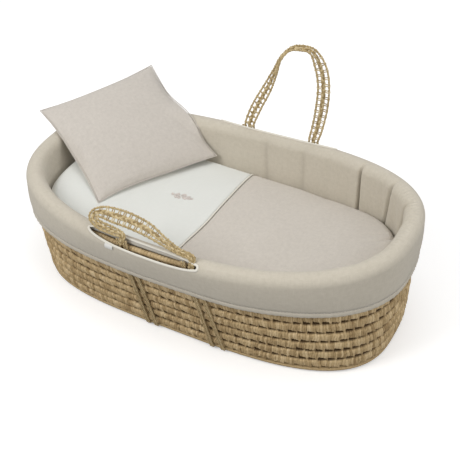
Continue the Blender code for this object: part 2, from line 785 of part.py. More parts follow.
def quilt_shape(inset):
    """Rings of the quilt from its lower edge to its crown, drawn in by an inset."""
    return [
        level(QUILT, BODY_LOW, inset + 0.014),
        quilt_level(1, 0.0200 + inset, inset),
        quilt_level(0.992, 0.0080 + inset, inset),
        quilt_level(0.955, 0.0010 + inset, inset * 0.8),
        quilt_level(0.76, inset),
        quilt_level(0.46, inset),
        quilt_level(0.18, inset),
    ]


def quilt_reach(x, y):
    """Distance of a place from the bed's centre, and of the quilt's edge in the same direction."""
    angle = math.atan2(y, x - BED_X)
    edge = float(np.interp(angle, QUILT_ANGLES, QUILT_RADII, period=2 * math.pi))
    return math.hypot(x - BED_X, y), edge


def quilt_top(x, y):
    """Height of the quilt's upper surface, away from its edge."""
    distance, edge = quilt_reach(x, y)
    share = min(1.0, distance / edge)
    drop = 0.0010 * float(ease((share - 0.75) / 0.2))
    return QUILT_EDGE + float(bed_rise(x)) + QUILT_CROWN * (1 - share**2) - drop


def quilt_panel(name, x_low, x_high, colour):
    """The part of the quilt's upper skin between two x values."""
    panel = cap_shell(name, quilt_shape(0.0), quilt_shape(SKIN)[::-1], colour, quilt_body)
    limits = box(name + "_limits", (x_low, x_high), (-0.3, 0.3), (0.04, 0.3))
    boolean(panel, limits, "INTERSECT")


def quilt_piping():
    path = np.array(
        [
            [PIPING_X, y, quilt_top(PIPING_X, y) + PIPING_LIFT]
            for y in np.linspace(-PIPING_HALF_LENGTH, PIPING_HALF_LENGTH, 15)
        ]
    )
    across = np.tile([1.0, 0, 0], (len(path), 1))
    up = np.tile([0, 0, 1.0], (len(path), 1))
    section = ellipse(PIPING_RADIUS, PIPING_RADIUS, 6)
    sweep("quilt_piping", path, across, up, section, "binding", quilt_body)


def sprig():
    """Embroidery as one raised three-lobed-pair patch of stitching."""
    angle = np.arange(SPRIG_POINTS) / SPRIG_POINTS * 2 * math.pi
    radius = 0.0045 + 0.0125 * np.abs(np.cos(1.5 * angle)) ** 1.6
    x = SPRIG_X + 1.15 * radius * np.cos(angle)
    y = SPRIG_Y + 0.8 * radius * np.sin(angle)
    beneath = max(
        quilt_top(SPRIG_X + dx, SPRIG_Y + dy)
        for dx in (-0.02, 0, 0.02)
        for dy in (-0.012, 0, 0.012)
    )
    low = beneath + SPRIG_LIFT
    rings = [np.stack([x, y, np.full(SPRIG_POINTS, z)], 1) for z in (low, low + SPRIG_T)]
    stack("sprig_embroidery", rings, "thread", quilt_body, smooth=0)


back_rings = [level(QUILT, z, BACK_INSET) for z in (QUILT_LOW, QUILT_LOW + BACK_T)]
stack("quilt_back_panel", back_rings, "quilt_plain", quilt_body)
stack("quilt_filling", quilt_shape(FILLING_INSET), "wadding", quilt_body)
quilt_panel("quilt_white_band", -0.5, PIPING_X - SEAM_HALF, "quilt_white")
quilt_panel("quilt_plain_panel", PIPING_X + SEAM_HALF, 0.5, "quilt_plain")
quilt_piping()
sprig()


# ---- pillow: lies over the quilt's head end and the padded rim ---------------------------------------
# corners of the pillow's middle surface; lower is towards the foot, upper towards the head
LOWER_NEAR = np.array([-0.232, -0.0975, 0.179])
LOWER_FAR = np.array([-0.1016, 0.183, 0.166])
UPPER_NEAR = np.array([-0.4594, 0.029, 0.2695])
UPPER_FAR = np.array([-0.326, 0.2815, 0.295])
CELLS = 10  # along each side of the pillow's grids
SIZE = (CELLS + 1) ** 2  # points in a grid
SIDE_DRAW = 0.08  # how far the sides draw in between the corners, as a share of a half side
PILLOW_CLEARANCE = 0.0046
HEAD_RIM = oval(np.linspace(math.pi / 2, 3 * math.pi / 2, 181), 1.0)


def roll_top(x, y):
    """Height of a smooth tent over the padded rim, for what rests across it."""
    away = np.hypot(HEAD_RIM[:, 0] - x, HEAD_RIM[:, 1] - y)
    nearest = int(away.argmin())
    height = rim_height(HEAD_RIM[nearest, 0]) + ROLL + 0.0015
    return height - 1.1 * max(0.0, float(away[nearest]) - 0.022)


def support(x, y):
    """Height of what lies under the pillow at this place."""
    distance, edge = quilt_reach(x, y)
    bed = quilt_top(x, y) if distance < edge + 0.004 else -1.0
    return max(bed, roll_top(x, y))


def pillow_sides():
    """Lower and upper grids of the pillow's outer surface, as (row, column, xyz)."""
    low, high = np.zeros((2, CELLS + 1, CELLS + 1, 3))
    for j in range(CELLS + 1):
        for i in range(CELLS + 1):
            a, b = 2 * i / CELLS - 1, 2 * j / CELLS - 1
            u = (a * (1 - SIDE_DRAW * (1 - b * b)) + 1) / 2
            v = (b * (1 - SIDE_DRAW * (1 - a * a)) + 1) / 2
            x, y, middle = (
                LOWER_NEAR * (1 - u) * (1 - v)
                + LOWER_FAR * u * (1 - v)
                + UPPER_NEAR * (1 - u) * v
                + UPPER_FAR * u * v
            )
            loft = (max(0.0, 1 - a * a) * max(0.0, 1 - b * b)) ** 0.42
            thick = PILLOW_EDGE_T + (PILLOW_T - PILLOW_EDGE_T) * loft
            bottom = max(middle - thick / 2, support(x, y) + PILLOW_CLEARANCE)
            low[j, i] = x, y, bottom
            high[j, i] = x, y, bottom + thick
    return low, high


def drawn_in(low, high, share, depth):
    """The same grids set in by a depth, with the border moved a share of a cell inwards."""
    keep = np.clip(np.arange(CELLS + 1), 1, CELLS - 1)
    inner = np.ix_(keep, keep)
    low = low * (1 - share) + low[inner] * share
    high = high * (1 - share) + high[inner] * share
    low[..., 2] += depth
    high[..., 2] -= depth
    return low, high


def grid_faces(first, skip=()):
    """Triangles of the grid whose points start at first; cells in skip are left open."""
    n = CELLS + 1
    faces = []
    for j in range(CELLS):
        for i in range(CELLS):
            if (j, i) not in skip:
                a = first + j * n + i
                b, c, d = a + 1, a + n + 1, a + n
                faces += [(a, b, c), (a, c, d)]
    return faces


def border():
    """Grid indices round the edge, in order."""
    n = CELLS + 1
    line = list(range(n)) + [j * n + CELLS for j in range(1, n)]
    line += [CELLS * n + i for i in range(CELLS - 1, -1, -1)]
    return line + [j * n for j in range(CELLS - 1, 0, -1)]


def strip(line, first, second):
    """Triangles between the same closed line of points in two grids."""
    faces = []
    for a, b in zip(line, line[1:] + line[:1]):
        faces += [(a + first, b + first, b + second), (a + first, b + second, a + second)]
    return faces


def pillow_case(low, high):
    """A hollow case with an envelope opening across its lower face: part of one row of cells is left
    open in both skins, and the opening's edge is closed."""
    row, first, last = 6, 2, 7
    opening = [(row, i) for i in range(first, last + 1)]
    mouth = [row * (CELLS + 1) + i for i in range(first, last + 2)]
    mouth += [(row + 1) * (CELLS + 1) + i for i in range(last + 1, first - 1, -1)]
    grids = (low, high) + drawn_in(low, high, 0.10, 0.0010)
    points = np.concatenate([grid.reshape(-1, 3) for grid in grids])
    faces = grid_faces(0, opening) + grid_faces(SIZE)
    faces += grid_faces(2 * SIZE, opening) + grid_faces(3 * SIZE)
    faces += strip(border(), 0, SIZE) + strip(border(), 2 * SIZE, 3 * SIZE)
    faces += strip(mouth, 0, 2 * SIZE)
    make("pillow_case", points, faces, "pillow_fabric", pillow_body, smooth=60)


def pillow_insert(low, high):
    grids = drawn_in(low, high, 0.20, 0.0022)
    points = np.concatenate([grid.reshape(-1, 3) for grid in grids])
    faces = grid_faces(0) + grid_faces(SIZE) + strip(border(), 0, SIZE)
    make("pillow_insert", points, faces, "wadding", pillow_body, smooth=60)


pillow_low, pillow_high = pillow_sides()
pillow_case(pillow_low, pillow_high)
pillow_insert(pillow_low, pillow_high)
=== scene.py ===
"""Looks of a moses basket: woven wall, base and rim, twisted carry ropes, openwork handles, padded
linen liner, quilt, sheet, mattress and pillow.

It stands on z = 0 with its length along x: the head end is at -x and the foot end at +x. The near
side is -y and the far side +y. Lengths are in metres. A bearing is an angle round the basket from
+x, and a level runs from 0 at the base to 1 at the rim.
"""

import json
import math

import bmesh
import bpy
import numpy as np
from mathutils import Matrix, Vector

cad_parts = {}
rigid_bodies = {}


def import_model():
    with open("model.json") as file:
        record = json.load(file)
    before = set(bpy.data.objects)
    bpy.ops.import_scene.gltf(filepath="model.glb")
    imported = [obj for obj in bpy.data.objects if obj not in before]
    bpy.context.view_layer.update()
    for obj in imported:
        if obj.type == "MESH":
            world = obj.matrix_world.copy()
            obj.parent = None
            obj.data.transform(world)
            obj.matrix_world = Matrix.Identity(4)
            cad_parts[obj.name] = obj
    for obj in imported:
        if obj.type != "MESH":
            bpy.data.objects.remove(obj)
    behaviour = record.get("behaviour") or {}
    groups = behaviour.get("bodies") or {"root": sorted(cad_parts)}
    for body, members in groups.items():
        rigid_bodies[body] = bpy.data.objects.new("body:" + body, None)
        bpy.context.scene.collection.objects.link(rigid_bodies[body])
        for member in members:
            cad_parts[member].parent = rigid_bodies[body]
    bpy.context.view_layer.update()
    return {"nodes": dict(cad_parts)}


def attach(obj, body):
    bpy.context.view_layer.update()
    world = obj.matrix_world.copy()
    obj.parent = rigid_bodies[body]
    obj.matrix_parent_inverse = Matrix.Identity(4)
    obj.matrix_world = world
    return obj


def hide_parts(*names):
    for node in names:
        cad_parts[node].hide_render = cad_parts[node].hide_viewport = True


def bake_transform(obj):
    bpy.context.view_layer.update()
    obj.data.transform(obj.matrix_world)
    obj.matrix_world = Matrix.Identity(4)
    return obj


for old in list(bpy.data.objects):
    bpy.data.objects.remove(old, do_unlink=True)

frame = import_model()


# ---- dimensions shared with the solid model ----
HALF_LENGTH, HALF_WIDTH = 0.400, 0.228  # of the wall's middle at the rim
TUCK, NARROW = 0.019, 0.031  # how much less they are at the base
FOOT_SHIFT = 0.020  # of the base, towards the foot end
RIM_LOW = 0.218  # rim's height at x = 0
BASE = 0.0100  # thickness of the base
GAP = 0.0003  # between neighbouring pieces
COURSES = 9
RIM_COIL, ROLL = 0.0065, 0.0201  # radii of the rim coil and of the padded roll over it
MATTRESS_TOP, QUILT_EDGE, PIPING_X = 0.0900, 0.1500, -0.0120
PIVOT_Y, PIVOT_Z = 0.2365, 0.2450  # where the handles turn
PILLOW_THICKNESS = 0.058
NEAR_ROOTS, FAR_ROOTS = (-0.083, 0.066), (-0.046, 0.107)  # x of the handles' ends
NEAR_SLOT, FAR_SLOT = (-0.162, 0.086), (-0.116, 0.162)  # x of the ends of the liner's openings
TAU = 2 * math.pi


# ---- shape helpers ----
def unit(vectors):
    return vectors / np.maximum(np.linalg.norm(vectors, axis=-1, keepdims=True), 1e-12)


def ease(share):
    share = np.clip(share, 0, 1)
    return share * share * (3 - 2 * share)


def bell(x):
    return np.exp(-(x**2))


def rim_height(x):
    return RIM_LOW + 0.039 * x + 0.13 * x * x


def oval(bearing, level, out=0.0):
    """Plan of the wall's middle at a level, moved outwards by `out`."""
    level = np.asarray(level, float)

    def middle(angle):
        cos, sin = np.cos(angle), np.sin(angle)
        foot = 0.5 + 0.5 * np.tanh(4 * cos)
        power = (3.8 - 1.2 * level**2) * (1 - foot) + (2.9 - 0.4 * level**0.6) * foot
        long, wide = HALF_LENGTH - TUCK * (1 - level), HALF_WIDTH - NARROW * (1 - level)
        radius = (np.abs(cos / long) ** power + np.abs(sin / wide) ** power) ** (-1 / power)
        return np.stack([radius * cos + FOOT_SHIFT * (1 - level**2), radius * sin], -1)

    slope = middle(bearing + 1e-4) - middle(bearing - 1e-4)
    normal = unit(np.stack([slope[..., 1], -slope[..., 0]], -1))
    return middle(bearing) + np.asarray(out, float)[..., None] * normal


def centre_height(bearing):
    """Height of the rim coil's centre."""
    return rim_height(oval(bearing, 1.0)[..., 0])


def wall_point(bearing, out, z):
    """Points `out` outside the wall's middle at height z; the three broadcast together."""
    bearing, out, z = np.broadcast_arrays(
        np.asarray(bearing, float), np.asarray(out, float), np.asarray(z, float)
    )
    top = centre_height(bearing) - RIM_COIL - GAP
    level = np.clip((z - BASE - GAP) / (top - BASE - GAP), 1e-4, 1.0)
    return np.concatenate([oval(bearing, level, out), z[..., None]], -1)


def rim_point(bearing, radius, angle):
    """Points round the rim's centre line; the angle is 0 outwards and grows up and over."""
    height = centre_height(bearing)
    points = wall_point(bearing, radius * np.cos(angle), height)
    points[..., 2] = height + radius * np.sin(angle)
    return points


def bearing_at(x, level, side):
    """Bearing of the wall at x, on the near (-1) or far (1) side."""
    bearings = np.linspace(0.3, math.pi - 0.3, 1200) * side
    return float(np.interp(-x, -oval(bearings, level)[:, 0], bearings))


def lengths(path):
    """Length along a path at each of its points."""
    return np.concatenate([[0], np.cumsum(np.linalg.norm(np.diff(path, axis=0), axis=1))])


def spread_bearings(count, level, crowds=()):
    """Bearings at equal steps round the wall, closer at the crowds (bearing, half-angle, extra).
    Also returns the share of the way round at each, and the length round."""
    fine = np.linspace(0, TAU, 7201)
    run = lengths(oval(fine, level))
    weight = np.ones(len(fine))
    for middle, half, extra in crowds:
        weight += extra * bell(away(fine, middle) / half)
    total = np.concatenate([[0], np.cumsum(np.diff(run) * (weight[1:] + weight[:-1]) / 2)])
    found = np.interp(np.arange(count) / count * total[-1], total, fine)
    return found, np.interp(found, fine, run) / run[-1], float(run[-1])


def away(first, second):
    """Difference of two bearings, from -pi to pi."""
    return (first - second + math.pi) % TAU - math.pi


def ripple(share, seed, octaves=3):
    """Smooth repeatable noise of period 1, in about -1 to 1."""
    rng = np.random.default_rng(seed)
    total = np.zeros(np.shape(share))
    for k in range(octaves):
        waves = int(rng.integers(3, 6) * 2**k + rng.integers(0, 3))
        total += np.sin(TAU * (waves * share + rng.random())) * 0.6**k
    return total / 1.6


def scatter(number, seed):
    """Repeatable value in 0 to 1 for whole numbers."""
    value = np.sin(np.asarray(number, float) * 127.1 + seed * 311.7 + 0.5) * 43758.5453
    return value - np.floor(value)


def resample(path, count, endpoint=True):
    """Equal steps along a path, whose columns after the third ride along; and its length."""
    run = lengths(path[:, :3])
    at = np.linspace(0, run[-1], count, endpoint=endpoint)
    return np.stack([np.interp(at, run, column) for column in path.T], 1), float(run[-1])


def smooth_path(knots, count, closed=False):
    """Catmull-Rom curve through the knots, and its length."""
    knots = np.asarray(knots, float)
    if closed:
        knots = np.concatenate([knots[-1:], knots, knots[:2]])
    else:
        ends = [2 * knots[0] - knots[1]], [2 * knots[-1] - knots[-2]]
        knots = np.concatenate([ends[0], knots, ends[1]])
    part = np.linspace(0, 1, 24, endpoint=False)[:, None]
    fine = []
    for i in range(1, len(knots) - 2):
        before, start, end, after = knots[i - 1 : i + 3]
        fine.append(
            0.5
            * (
                2 * start
                + (end - before) * part
                + (2 * before - 5 * start + 4 * end - after) * part * part
                + (3 * start - before - 3 * end + after) * part**3
            )
        )
    return resample(np.concatenate(fine + [knots[-2][None]]), count, not closed)


def drawn_path(knots, count, blur):
    """Straight runs between knots, with the corners rounded over the length `blur`."""
    path, length = resample(np.asarray(knots, float), count)
    half = max(1, int(blur / (length / count)))
    for _ in range(3):
        longer = np.concatenate([np.repeat(path[:1], half, 0), path, np.repeat(path[-1:], half, 0)])
        total = np.cumsum(np.concatenate([np.zeros((1, 3)), longer]), axis=0)
        path = (total[2 * half + 1 :] - total[: -2 * half - 1]) / (2 * half + 1)
    return path


def on_loop(path, at):
    """Points at fractional indices along a closed path, and the whole indices before them."""
    i = np.floor(at).astype(int) % len(path)
    part = (at - np.floor(at))[:, None]
    return path[i] * (1 - part) + path[(i + 1) % len(path)] * part, i


# ---- mesh helpers ----
def make_mesh(name, points, faces, uv, attributes=None):
    """Smooth object from points and faces of four corners, with a UV for each corner. A face whose
    last corner repeats is a triangle."""
    mesh = bpy.data.meshes.new(name)
    mesh.vertices.add(len(points))
    mesh.vertices.foreach_set("co", np.asarray(points, np.float32).ravel())
    used = np.ones(faces.shape, bool)
    used[:, 3] = faces[:, 2] != faces[:, 3]
    corners = faces[used].astype(np.int32)
    mesh.loops.add(len(corners))
    mesh.loops.foreach_set("vertex_index", corners)
    mesh.polygons.add(len(faces))
    sizes = used.sum(1)
    mesh.polygons.foreach_set("loop_start", (np.cumsum(sizes) - sizes).astype(np.int32))
    layer = mesh.uv_layers.new(name="UVMap")
    layer.data.foreach_set("uv", np.reshape(uv, (-1, 4, 2))[used].astype(np.float32).ravel())
    for key, values in (attributes or {}).items():
        attribute = mesh.attributes.new(key, "FLOAT", "POINT")
        attribute.data.foreach_set("value", np.asarray(values, np.float32).ravel())
    mesh.update(calc_edges=True)
    mesh.validate()
    mesh.shade_smooth()
    obj = bpy.data.objects.new(name, mesh)
    bpy.context.scene.collection.objects.link(obj)
    return obj


def cells(nodes):
    """Corners of each cell of a grid, in order round it."""
    return np.stack([nodes[:-1, :-1], nodes[:-1, 1:], nodes[1:, 1:], nodes[1:, :-1]], 2)


def grid_cells(rows, columns, wrap):
    """Vertex numbers of a grid's cells; wrap is 1 for (rows, columns) that close on themselves."""
    index = np.arange(rows * columns).reshape(rows, columns)
    return cells(np.pad(index, ((0, wrap[0]), (0, wrap[1])), mode="wrap"))


def grid(name, points, across, along, wrap=(0, 0), keep=None, attributes=None):
    """Object from rows of points. UVs in metres: `across` by column, `along` by row, or either by
    point. A wrapped direction needs one value more than it has points."""
    along = np.asarray(along)
    along = along[:, None] if along.ndim == 1 else along
    uv = cells(np.stack(np.broadcast_arrays(across, along), -1))
    faces = grid_cells(*points.shape[:2], wrap)
    if keep is not None:
        faces, uv = faces[keep], uv[keep]
    return make_mesh(name, points.reshape(-1, 3), faces.reshape(-1, 4), uv, attributes)


def apply_modifiers(obj):
    graph = bpy.context.evaluated_depsgraph_get()
    graph.update()
    mesh = bpy.data.meshes.new_from_object(
        obj.evaluated_get(graph), preserve_all_data_layers=True, depsgraph=graph
    )
    old_mesh = obj.data
    obj.modifiers.clear()
    obj.data = mesh
    bpy.data.meshes.remove(old_mesh)


def thicken(obj, thickness, offset=-1.0):
    """Offset -1 adds the thickness behind the faces, 0 on both sides."""
    solid = obj.modifiers.new("Thickness", "SOLIDIFY")
    solid.thickness = thickness
    solid.offset = offset
    solid.use_even_offset = False
    apply_modifiers(obj)


def face_out(obj):
    work = bmesh.new()
    work.from_mesh(obj.data)
    bmesh.ops.recalc_face_normals(work, faces=work.faces)
    if work.calc_volume(signed=True) < 0:
        bmesh.ops.reverse_faces(work, faces=work.faces)
    work.to_mesh(obj.data)
    work.free()


def write_facing_up(work, mesh):
    bmesh.ops.recalc_face_normals(work, faces=work.faces)
    if sum(face.normal.z * face.calc_area() for face in work.faces) < 0:
        bmesh.ops.reverse_faces(work, faces=work.faces)
    work.to_mesh(mesh)
    work.free()
    mesh.shade_smooth()


class Strands:
    """Collects capped tubes into one object."""

    def __init__(self):
        self.points, self.faces, self.uv, self.tone, self.count = [], [], [], [], 0

    def add(self, points, faces, uv, tone):
        self.points.append(points)
        self.faces.append(faces)
        self.uv.append(uv)
        self.tone.append(tone)
        self.count += len(points)

    def tube(self, path, radius, sides=7, closed=False, flat=1.0, reference=(0.0, 0.0, 1.0),
             tone=0.5):
        """Radius and tone may vary along it; flat scales the section along the reference."""
        path = np.asarray(path, float)
        if closed:
            tangent = unit(np.roll(path, -1, 0) - np.roll(path, 1, 0))
        else:
            tangent = unit(np.gradient(path, axis=0))
        toward = np.broadcast_to(np.asarray(reference, float), path.shape)
        toward = toward - (toward * tangent).sum(1, keepdims=True) * tangent
        weak = np.linalg.norm(toward, axis=1) < 1e-3
        toward[weak] = np.cross(tangent[weak], [1.0, 0.3, 0.2])
        toward = unit(toward)
        sideways = np.cross(tangent, toward)
        angle = (np.arange(sides) / sides * TAU)[None, :, None]
        section = flat * np.cos(angle) * toward[:, None] + np.sin(angle) * sideways[:, None]
        size = np.broadcast_to(np.asarray(radius, float), len(path))[:, None, None]
        rings = path[:, None] + size * section

        run = lengths(path)
        if closed:
            run = np.append(run, 2 * run[-1] - run[-2])
        girth = np.arange(sides + 1) / sides * TAU * float(np.mean(radius))
        uv = cells(np.stack(np.broadcast_arrays(run[:, None], girth), -1)).reshape(-1, 2)
        first = self.count
        faces = grid_cells(len(path), sides, (int(closed), 1)).reshape(-1, 4) + first
        tones = np.repeat(np.broadcast_to(tone, len(path)), sides)
        self.add(rings.reshape(-1, 3), faces, uv, tones)
        if closed:
            return
        for ring, turn in ((0, 1), (len(path) - 1, 0)):
            here = first + ring * sides + np.arange(sides)
            after = first + ring * sides + (np.arange(sides) + 1) % sides
            pair = [after, here] if turn else [here, after]
            tip = np.full(sides, self.count)
            fan = np.stack([*pair, tip, tip], 1)
            self.add(path[ring][None], fan, np.zeros((sides * 4, 2)), tones[:1])

    def twist(self, path, side, up, radius, offset, pitch, tone, turn, sides):
        """Two plies wound round a path; side and up span its cross-section."""
        run = lengths(path)
        for k in range(2):
            angle = TAU * (run / pitch + k / 2) + turn
            line = path + side * (offset * np.cos(angle))[:, None]
            line = line + up * (offset * np.sin(angle))[:, None]
            wobble = 1 + 0.10 * np.sin(run * 610 + 2.1 * k) + 0.07 * np.sin(run * 1490 + k)
            tones = tone + 0.22 * np.sin(run * 83 + 2 * k) * np.sin(run * 31 + k)
            self.tube(line, radius * wobble, sides, tone=np.clip(tones, 0.05, 1),
                      reference=up.mean(0))

    def build(self, name):
        joined = [np.concatenate(part) for part in (self.points, self.faces, self.uv, self.tone)]
        return make_mesh(name, *joined[:3], {"tone": joined[3]})


# ---- materials ----
def srgb(colour):
    """Linear colour from 8-bit sRGB."""
    return tuple(
        (c / 255) / 12.92 if c <= 10 else ((c / 255 + 0.055) / 1.055) ** 2.4 for c in colour
    ) + (1.0,)


class Nodes:
    """A material and short ways to add shader nodes to it."""

    def __init__(self, name):
        self.material = bpy.data.materials.new(name)
        self.material.use_nodes = True
        self.tree = self.material.node_tree
        self.bsdf = self.tree.nodes["Principled BSDF"]

    def node(self, kind, **settings):
        node = self.tree.nodes.new(kind)
        for key, value in settings.items():
            setattr(node, key, value)
        return node

    def put(self, socket, value):
        if isinstance(value, bpy.types.NodeSocket):
            self.tree.links.new(value, socket)
        elif value is not None:
            socket.default_value = value

    def surface(self, values):
        for socket, value in values.items():
            self.put(self.bsdf.inputs[socket], value)

    def math(self, operation, first, second=None, third=None, clamp=False):
        node = self.node("ShaderNodeMath", operation=operation, use_clamp=clamp)
        for i, value in enumerate((first, second, third)):
            self.put(node.inputs[i], value)
        return node.outputs[0]

    def mix(self, factor, first, second):
        node = self.node("ShaderNodeMix", data_type="RGBA", blend_type="MIX")
        for i, value in ((0, factor), (6, first), (7, second)):
            self.put(node.inputs[i], value)
        return node.outputs[2]

    def noise(self, place, stretch=(1, 1), scale=1.0, detail=3.0, rough=0.55):
        """Noise with its frequency along u and v multiplied by the stretch."""
        stretched = self.node("ShaderNodeVectorMath", operation="MULTIPLY")
        self.put(stretched.inputs[0], place)
        stretched.inputs[1].default_value = (*stretch, 1.0)
        node = self.node("ShaderNodeTexNoise")
        self.put(node.inputs["Vector"], stretched.outputs[0])
        self.put(node.inputs["Scale"], scale)
        self.put(node.inputs["Detail"], detail)
        self.put(node.inputs["Roughness"], rough)
        return node.outputs[0]

    def contrast(self, value, low=0.3, high=0.7):
        node = self.node("ShaderNodeMapRange")
        self.put(node.inputs[0], value)
        node.inputs[1].default_value = low
        node.inputs[2].default_value = high
        return node.outputs[0]

    def attribute(self, name):
        return self.node("ShaderNodeAttribute", attribute_name=name).outputs["Fac"]

    def uv(self):
        return self.node("ShaderNodeUVMap", uv_map="UVMap").outputs[0]

    def bump(self, height, strength, distance=0.0006):
        node = self.node("ShaderNodeBump")
        self.put(node.inputs["Height"], height)
        node.inputs["Strength"].default_value = strength
        node.inputs["Distance"].default_value = distance
        self.put(self.bsdf.inputs["Normal"], node.outputs[0])


def linen(name, light, dark, thread=0.00085, mottle=0.5, strength=0.35, roughness=0.92, sheen=0.2,
          vector=None, shade=False):
    """Woven cloth: crossing threads with slubs both ways and a soft heather. `thread` is a thread's
    width, `mottle` the colour's unevenness and `strength` the relief's."""
    light, dark = srgb(light), srgb(dark)
    n = Nodes(name)
    place = n.uv() if vector is None else n.node("ShaderNodeTexCoord").outputs[vector]
    split = n.node("ShaderNodeSeparateXYZ")
    n.put(split.inputs[0], place)
    warp, weft = (
        n.math("SINE", n.math("MULTIPLY", split.outputs[i], math.pi / thread)) for i in (0, 1)
    )
    weave = n.math("MULTIPLY_ADD", n.math("MULTIPLY", warp, weft), 0.5, 0.5)
    along = n.noise(place, stretch=(45, 1100), detail=2.0)
    across = n.noise(place, stretch=(1100, 45), detail=2.0)
    cloud = n.noise(place, scale=120.0, detail=4.0, rough=0.65)
    wide = n.noise(place, scale=14.0, detail=2.0)
    slub = n.math("ADD", n.contrast(along, 0.35, 0.65), n.contrast(across, 0.35, 0.65))
    # slubs, heather and broad patches each shift the mix of dark and light
    factor = n.math("MULTIPLY_ADD", slub, 0.25 * mottle, 0.5 - 0.25 * mottle)
    heather = n.math("MULTIPLY_ADD", n.contrast(cloud), 0.5 * mottle, -0.25 * mottle)
    factor = n.math("ADD", factor, heather)
    patches = n.math("MULTIPLY_ADD", wide, 0.3 * mottle, -0.15 * mottle)
    factor = n.math("ADD", factor, patches, clamp=True)
    colour = n.mix(factor, dark, light)
    if shade:
        # painted shade darkens the colour along the folds
        fold_shade_colour = (dark[0] * 0.30, dark[1] * 0.28, dark[2] * 0.26, 1.0)
        colour = n.mix(n.attribute("fold"), colour, fold_shade_colour)
    n.surface({
        "Base Color": colour,
        "Roughness": n.math("MULTIPLY_ADD", slub, 0.03, roughness - 0.03),
        "Sheen Weight": sheen,
        "Sheen Roughness": 0.6,
        "Specular IOR Level": 0.2,
    })
    n.bump(n.math("MULTIPLY_ADD", slub, 0.35, n.math("MULTIPLY", weave, 0.6)), strength)
    return n.material


def husk(name, light, middle, dark, shadow=None, stretch=(70, 1800)):
    """Dry leaf strips: long fibres, a tone for each strip, and shadow where the weave dips."""
    n = Nodes(name)
    place = n.uv()
    fibre = n.contrast(n.noise(place, stretch, rough=0.6))
    fine_stretch = (stretch[0] * 2.6, stretch[1] * 2)
    fine = n.contrast(n.noise(place, fine_stretch, detail=2.0))
    blotch = n.noise(place, scale=160.0)
    tone = n.math("MULTIPLY", n.attribute("tone"), 0.62)
    pick = n.math("ADD", tone, n.math("MULTIPLY_ADD", fibre, 0.34, -0.10))
    pick = n.math("ADD", pick, n.math("MULTIPLY_ADD", blotch, 0.34, -0.09), clamp=True)
    ramp = n.node("ShaderNodeValToRGB")
    n.put(ramp.inputs[0], pick)
    ends = ramp.color_ramp.elements
    ends[0].color, ends[0].position = srgb(dark), 0.08
    ends[1].color, ends[1].position = srgb(light), 0.92
    ends.new(0.5).color = srgb(middle)
    colour = ramp.outputs[0]
    if shadow:
        colour = n.mix(n.contrast(n.attribute("depth"), 0.06, 0.66), srgb(shadow), colour)
    n.surface({
        "Base Color": colour,
        "Roughness": n.math("MULTIPLY_ADD", fibre, -0.14, 0.74),
        "Specular IOR Level": 0.35,
    })
    n.bump(n.math("ADD", fibre, n.math("MULTIPLY", fine, 0.4)), 0.5)
    return n.material


# Cloths take light and dark colours, husks light, middle, dark and shadow, all in 8-bit sRGB.
# No piece here wears the elastic.
MATERIALS = {
    "face": linen("liner_linen", (210, 202, 187), (188, 180, 163), mottle=0.75, shade=True),
    "backing": linen("lining_cotton", (214, 210, 200), (198, 193, 182), thread=0.0006, mottle=0.4),
    "plain": linen("quilt_linen", (215, 208, 198), (190, 183, 173), mottle=0.7),
    "white": linen("quilt_white_cotton", (229, 230, 225), (217, 218, 212), thread=0.0007,
                   mottle=0.35, strength=0.25),
    "sheet": linen("sheet_cotton", (236, 237, 233), (226, 227, 222), thread=0.0005, mottle=0.3,
                   strength=0.2),
    "pillow": linen("pillow_linen", (213, 206, 197), (188, 181, 172), mottle=0.75),
    "binding": linen("binding_cotton", (236, 232, 221), (220, 215, 202), thread=0.0006,
                     mottle=0.3, strength=0.2),
    "label": linen("label_weave", (236, 235, 230), (214, 213, 208), thread=0.0004, mottle=0.3,
                   strength=0.3),
    "thread": linen("embroidery_thread", (222, 213, 206), (206, 196, 188), thread=0.0003,
                    mottle=0.6, roughness=0.6, sheen=0.5),
    "wadding": linen("wadding_fibre", (244, 244, 240), (230, 230, 226), thread=0.0012,
                     mottle=0.8, vector="Object"),
    "foam": linen("mattress_foam", (236, 230, 208), (224, 217, 192), thread=0.0015, mottle=0.8,
                  vector="Object"),
    "elastic": linen("elastic_weave", (235, 235, 230), (216, 216, 210), thread=0.0007,
                     mottle=0.3, vector="Object"),
    "husk": husk("woven_husk", (232, 208, 166), (200, 174, 130), (146, 119, 80), (80, 59, 32),
                 stretch=(1500, 70)),
    "rope": husk("palm_rope", (226, 206, 164), (198, 175, 132), (150, 126, 84)),
    "strap": husk("palm_braid", (236, 220, 182), (198, 176, 130), (138, 114, 72)),
}


def finish(obj, material, body=None, replaces=()):
    obj.data.materials.clear()
    obj.data.materials.append(MATERIALS[material])
    if body:
        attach(obj, body)
    if replaces:
        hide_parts(*replaces)


# ---- woven wall: courses of blocks, offset by half a block like bricks ----
BLOCK = 0.0182  # length of a block
COLUMNS = 2000
WALL_BEARINGS, _, WALL_ROUND = spread_bearings(COLUMNS, 0.7)
BLOCKS = 2 * round(WALL_ROUND / BLOCK / 2)
WALL_SHARES = np.arange(COLUMNS) / COLUMNS
WALL_TOP = centre_height(WALL_BEARINGS) - RIM_COIL - GAP
WALL_FOOT = BASE + GAP


def slit(boundary):
    """At a boundary between courses: 1 where the dark slit is open and 0 where a stitch bridges
    it, the place along the block from 0 to 1, and the block's number."""
    place = WALL_SHARES * BLOCKS + 0.5 * (boundary % 2)
    place = place + 0.10 * ripple(WALL_SHARES, 40 + boundary, 4)
    along, block = place - np.floor(place), np.floor(place) % BLOCKS
    start = 0.02 + 0.07 * scatter(block, boundary)
    end = 0.80 + 0.14 * scatter(block, boundary + 20)
    opening = ease((along - start + 0.02) / 0.06) * (1 - ease((along - end + 0.10) / 0.16))
    return opening, along, block


